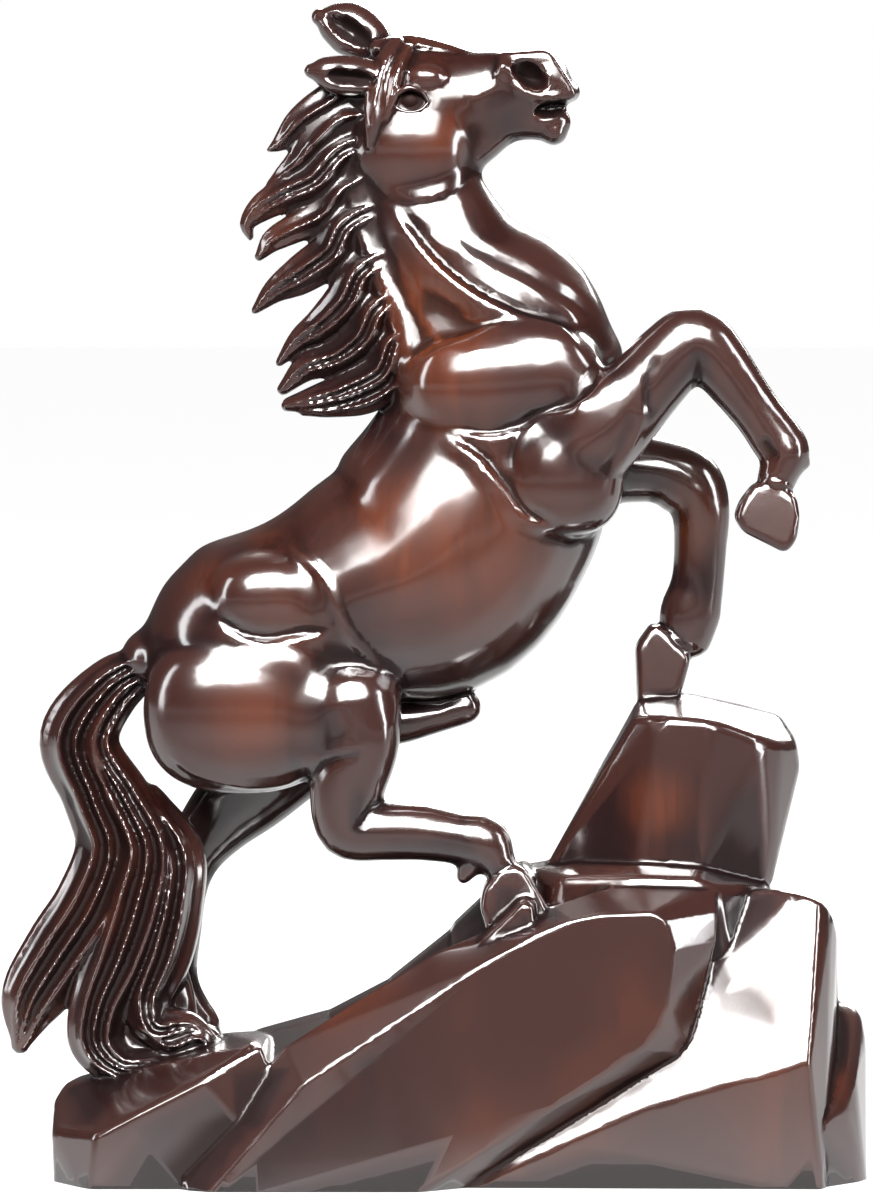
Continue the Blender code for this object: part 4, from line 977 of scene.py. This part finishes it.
class Value:
    """A number that changes over a surface. Arithmetic on it adds the nodes that work it out."""

    def __init__(self, finish, socket):
        self.finish = finish
        self.socket = socket

    def math(self, operation, *others, **settings):
        sockets = dict(enumerate((self, *others)))
        return self.finish.node("ShaderNodeMath", {"operation": operation, **settings}, sockets)

    def __add__(self, other):
        return self.math("ADD", other)

    def __sub__(self, other):
        return self.math("SUBTRACT", other)

    def __mul__(self, other):
        return self.math("MULTIPLY", other)

    def __truediv__(self, other):
        return self.math("DIVIDE", other)

    def __pow__(self, other):
        return self.math("POWER", other)

    def __radd__(self, other):
        return self.math("ADD", other)

    def __rmul__(self, other):
        return self.math("MULTIPLY", other)

    def __rsub__(self, other):
        return self.finish.node("ShaderNodeMath", {"operation": "SUBTRACT"}, {0: other, 1: self})

    def clipped(self):
        return self.math("ADD", 0.0, use_clamp=True)

    def between(self, low, high):
        """0 where the value is under low, 1 where it is over high, and a soft step from one to the other."""
        settings = {"interpolation_type": "SMOOTHSTEP"}
        sockets = {"Value": self, "From Min": low, "From Max": high}
        return self.finish.node("ShaderNodeMapRange", settings, sockets)


class Finish:
    """A material or a room that is put together from nodes."""

    def __init__(self, owner):
        self.tree = owner.node_tree
        self.shader = self.tree.nodes.get("Principled BSDF")

    def node(self, kind, settings, sockets, output=0):
        made = self.tree.nodes.new(kind)
        for setting, value in settings.items():
            setattr(made, setting, value)
        for name, value in sockets.items():
            self.join(made.inputs[name], value)
        return Value(self, made.outputs[output])

    def join(self, socket, value):
        if isinstance(value, Value):
            self.tree.links.new(value.socket, socket)
        else:
            socket.default_value = value

    def noise(self, place, scale, detail, stretch=(1.0, 1.0, 1.0), distortion=0.0):
        stretched = self.node("ShaderNodeMapping", {}, {"Vector": place, "Scale": stretch})
        sockets = {"Vector": stretched, "Scale": scale, "Detail": detail, "Distortion": distortion}
        return self.node("ShaderNodeTexNoise", {}, sockets)

    def mixed(self, share, first, second):
        """One colour passing into another."""
        settings = {"data_type": "RGBA", "blend_type": "MIX"}
        return self.node("ShaderNodeMix", settings, {0: share, 6: first, 7: second}, 2)

    def nearness(self, place, centre, reach):
        """1 at a point and 0 from this far away."""
        settings = {"operation": "DISTANCE"}
        distance = self.node("ShaderNodeVectorMath", settings, {0: place, 1: centre}, "Value")
        return 1 - distance.between(0.0, reach)

    def shade(self, **sockets):
        for name, value in sockets.items():
            self.join(self.shader.inputs[name.replace("_", " ")], value)


def hardwood(settings):
    """Dark rosewood under a rubbed polish: warm patches, faint upright grain, grooves darkened by staining
    and painted shade, ridges lightened by wear and a painted highlight, and eyes, nostrils, mouth and ears
    painted dark.
    """
    wood_finish = bpy.data.materials.new("polished_rosewood")
    wood_finish.use_nodes = True
    finish = Finish(wood_finish)
    place = finish.node("ShaderNodeTexCoord", {}, {}, "Object")
    dark = (*settings.dark_wood, 1.0)
    warm = (*settings.warm_wood, 1.0)
    stain_and_shade = (*settings.stain_and_shade, 1.0)
    patches = finish.noise(place, 14.0, 3.0, (1.0, 1.0, 0.7), 0.4).between(0.5, 0.78) * 0.6
    for x, y, z, reach in WARM_PLACES:
        centre = (x / 1000, y / 1000, z / 1000)
        patches = patches + finish.nearness(place, centre, reach / 1000) * 0.8
    patches = patches.clipped()
    fibres = finish.noise(place, 420.0, 4.0, (1.0, 1.0, 0.05), 0.6)
    bands = finish.noise(place, 70.0, 3.0, (1.0, 1.0, 0.16), 1.2)
    grain = (fibres * 0.5 + bands * 0.5).between(0.36, 0.62)
    relief = finish.node("ShaderNodeAttribute", {"attribute_name": "relief"}, {}, "Fac")
    wood = finish.mixed(patches, dark, warm)
    wood = finish.mixed((1 - grain) * 0.42, wood, stain_and_shade)
    # Grooves darkened: staining that collects in them, and painted shade where they would lie in shadow.
    wood = finish.mixed((1 - relief.between(0.08, 0.46)) * 0.8, wood, stain_and_shade)
    # Ridges lightened: rubbed wear, and a painted highlight along the rims and hair ridges.
    wood = finish.mixed(relief.between(0.55, 0.95) * 0.35, wood, (*settings.worn_edge_and_highlight, 1.0))
    # Painted shade in the hollows of the nostrils, mouth and ears, and the eyes painted dark, mixed in with
    # the grain colour.
    black_and_shade = 0.0
    for reach, spots in BLACK_AND_SHADE_PLACES:
        for x, y, z in spots:
            centre = (x / 1000, y / 1000, z / 1000)
            black_and_shade = black_and_shade + finish.nearness(place, centre, reach).between(0.02, 0.3)
    black_and_shade = black_and_shade.clipped()
    wood = finish.mixed(black_and_shade * 0.85, wood, stain_and_shade)
    pores = finish.noise(place, 900.0, 2.0, (1.0, 1.0, 0.06))
    bump = finish.node("ShaderNodeBump", {}, {"Height": pores, "Strength": 0.05, "Distance": 0.0004})
    cloud = finish.noise(place, 30.0, 2.0)
    groove = 1 - relief.between(0.2, 0.5)
    roughness = cloud * 0.1 + settings.roughness + groove * 0.12 + black_and_shade * 0.25
    polish = (1 - black_and_shade) * (1 - groove * 0.75) * settings.coat
    finish.shade(Base_Color=wood, Roughness=roughness, Normal=bump)
    finish.shade(Specular_IOR_Level=0.06, Specular_Tint=(1.0, 0.8, 0.76, 1.0))
    finish.shade(Coat_Weight=polish, Coat_Roughness=0.15, Coat_IOR=1.8)
    return wood_finish


def pale_paper(settings):
    """The studio's pale paper, with a trace of mottling."""
    paper = bpy.data.materials.new("pale_paper")
    paper.use_nodes = True
    finish = Finish(paper)
    place = finish.node("ShaderNodeTexCoord", {}, {}, "Object")
    mottle = finish.noise(place, 3.0, 2.0)
    tone = settings.paper
    paler = tuple(min(1.0, value * 1.02) for value in tone)
    behind = finish.node("ShaderNodeSeparateXYZ", {}, {"Vector": place}, "Y").between(*FLOOR_GLOW)
    away = (1 - finish.nearness(place, (0.0, 0.0, 0.0), FLOOR_PALE)).between(0.6, 1.0)
    glow = finish.mixed((behind + away * 0.6).clipped(), (0.0, 0.0, 0.0, 1.0), (1.0, 1.0, 1.0, 1.0))
    finish.shade(Base_Color=finish.mixed(mottle, (*tone, 1.0), (*paler, 1.0)), Roughness=0.9)
    finish.shade(Emission_Color=glow, Emission_Strength=0.96)
    return paper


def studio_room(settings):
    """The room round the carving: pale behind and above it, dark in front, and white where it is seen."""
    room = bpy.data.worlds.new("studio_room")
    room.use_nodes = True
    finish = Finish(room)
    direction = finish.node("ShaderNodeTexCoord", {}, {}, "Generated")
    split = finish.node("ShaderNodeSeparateXYZ", {}, {"Vector": direction}, "Y")
    behind = split.between(-0.15, 0.85)
    above = Value(finish, split.socket.node.outputs["Z"]).between(0.25, 0.95)
    tone = behind * ROOM_BEHIND + above * ROOM_ABOVE + ROOM_DARK
    seen = finish.node("ShaderNodeLightPath", {}, {}, "Is Camera Ray")
    strength = tone * (1 - seen) + seen * settings.backdrop
    finish.join(finish.tree.nodes["Background"].inputs["Strength"], strength)
    finish.tree.nodes["Background"].inputs["Color"].default_value = (1.0, 1.0, 1.0, 1.0)
    return room


def lamp(name, place, aim, size, power, spread, colour):
    """A soft rectangular lamp that looks at a point."""
    bpy.ops.object.light_add(type="AREA", location=place)
    light = bpy.context.object
    light.name = name
    light.data.shape = "RECTANGLE"
    light.data.size, light.data.size_y = size
    light.data.energy = power
    light.data.spread = math.radians(spread)
    light.data.color = colour
    light.rotation_euler = (Vector(aim) - Vector(place)).to_track_quat("-Z", "Y").to_euler()
    return light


class CarvingSettings(bpy.types.PropertyGroup):
    """Sizes and colours of the carving."""

    horse_width: FloatProperty(
        name="Horse width", description="Breadth of the horse's barrel", default=0.078, unit="LENGTH"
    )
    rock_depth: FloatProperty(
        name="Rock depth", description="Depth of the rock from front to back",
        default=0.106, unit="LENGTH"
    )
    rock_edge: FloatProperty(
        name="Rock edge", description="How far the edges of the rock are rubbed down",
        default=0.0022, unit="LENGTH"
    )
    dark_wood: FloatVectorProperty(
        name="Dark wood", description="Colour of most of the wood",
        subtype="COLOR", default=(0.005, 0.0014, 0.0014)
    )
    warm_wood: FloatVectorProperty(
        name="Warm wood", description="Colour of the redder heartwood",
        subtype="COLOR", default=(0.04, 0.0085, 0.0022)
    )
    # Also used for painted shade: it darkens the grooves, and the hollows of the nostrils, mouth and ears.
    stain_and_shade: FloatVectorProperty(
        name="Stain", description="Colour of the grain lines and grooves",
        subtype="COLOR", default=(0.0018, 0.0008, 0.0008)
    )
    # Partly a painted highlight: it lightens the ridges and rims as if they caught the light.
    worn_edge_and_highlight: FloatVectorProperty(
        name="Worn edge", description="Colour of the rubbed ridges",
        subtype="COLOR", default=(0.022, 0.008, 0.006)
    )
    roughness: FloatProperty(
        name="Roughness", description="Roughness of the wood under the polish",
        default=0.3, min=0.0, max=1.0
    )
    coat: FloatProperty(
        name="Polish", description="Weight of the clear polish",
        default=0.9, min=0.0, max=1.0
    )


class StudioSettings(bpy.types.PropertyGroup):
    """Sizes and colours of the studio."""

    distance: FloatProperty(
        name="Camera distance", description="From the camera to the middle of the carving",
        default=2.5, unit="LENGTH"
    )
    height: FloatProperty(
        name="Camera height", description="How far the camera looks down on the carving",
        default=math.radians(4), subtype="ANGLE"
    )
    paper: FloatVectorProperty(
        name="Paper", description="Colour of the floor and backdrop",
        subtype="COLOR", default=(0.08, 0.08, 0.081)
    )
    backdrop: FloatProperty(
        name="Backdrop", description="Brightness behind the carving",
        default=1.0, min=0.0
    )
    strength: FloatProperty(
        name="Light", description="Strength of all lamps together",
        default=1.0, min=0.0
    )


class STATUE_OT_carve(bpy.types.Operator):
    """Carve the horse and its rock from one block and polish it"""

    bl_idname = "statue.carve"
    bl_label = "Carve the horse and rock"

    def execute(self, context):
        settings = context.scene.carving
        statue = carved(settings)
        statue.name = "carved_horse_and_rock"
        statue.data.name = statue.name
        mark_hollows(statue)
        statue.data.materials.clear()
        statue.data.materials.append(hardwood(settings))
        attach(statue, "root")
        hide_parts(SOLID)
        return {"FINISHED"}


class STATUE_OT_studio(bpy.types.Operator):
    """Set up the pale floor and backdrop, the soft lamps and the camera"""

    bl_idname = "statue.studio"
    bl_label = "Set up the studio"

    def execute(self, context):
        settings = context.scene.studio
        bpy.ops.object.select_all(action="DESELECT")
        bpy.ops.mesh.primitive_grid_add(x_subdivisions=24, y_subdivisions=24, size=FLOOR_SIZE)
        floor = context.object
        floor.name = "pale_floor"
        floor.data.materials.append(pale_paper(settings))
        for name, place, aim, size, power, spread, colour in LAMPS:
            lamp(name, place, aim, size, power * settings.strength, spread, colour)
        context.scene.world = studio_room(settings)
        aim = Vector(CAMERA_AIM)
        back = Vector((0.0, -math.cos(settings.height), math.sin(settings.height)))
        bpy.ops.object.camera_add(location=aim + back * settings.distance)
        camera = context.object
        camera.name = "camera"
        camera.rotation_euler = (-back).to_track_quat("-Z", "Y").to_euler()
        camera.data.sensor_fit = "VERTICAL"
        camera.data.sensor_height = 24.0
        camera.data.lens = 24.0 * settings.distance / PICTURE_HEIGHT
        context.scene.camera = camera
        context.scene.view_settings.view_transform = "Standard"
        return {"FINISHED"}


class STATUE_PT_panel(bpy.types.Panel):
    """Sizes, colours and steps of the carving"""

    bl_idname = "STATUE_PT_panel"
    bl_label = "Rearing horse carving"
    bl_space_type = "VIEW_3D"
    bl_region_type = "UI"
    bl_category = "Carving"

    def draw(self, context):
        scene = context.scene
        for settings, operator in ((scene.carving, "statue.carve"), (scene.studio, "statue.studio")):
            box = self.layout.box()
            for name in settings.__annotations__:
                box.prop(settings, name)
            box.operator(operator)


CLASSES = (CarvingSettings, StudioSettings, STATUE_OT_carve, STATUE_OT_studio, STATUE_PT_panel)


def register():
    for item in CLASSES:
        bpy.utils.register_class(item)
    bpy.types.Scene.carving = PointerProperty(type=CarvingSettings)
    bpy.types.Scene.studio = PointerProperty(type=StudioSettings)


def unregister():
    del bpy.types.Scene.carving
    del bpy.types.Scene.studio
    for item in reversed(CLASSES):
        bpy.utils.unregister_class(item)


def main():
    register()
    bpy.ops.statue.carve()
    bpy.ops.statue.studio()


if __name__ == "__main__":
    main()
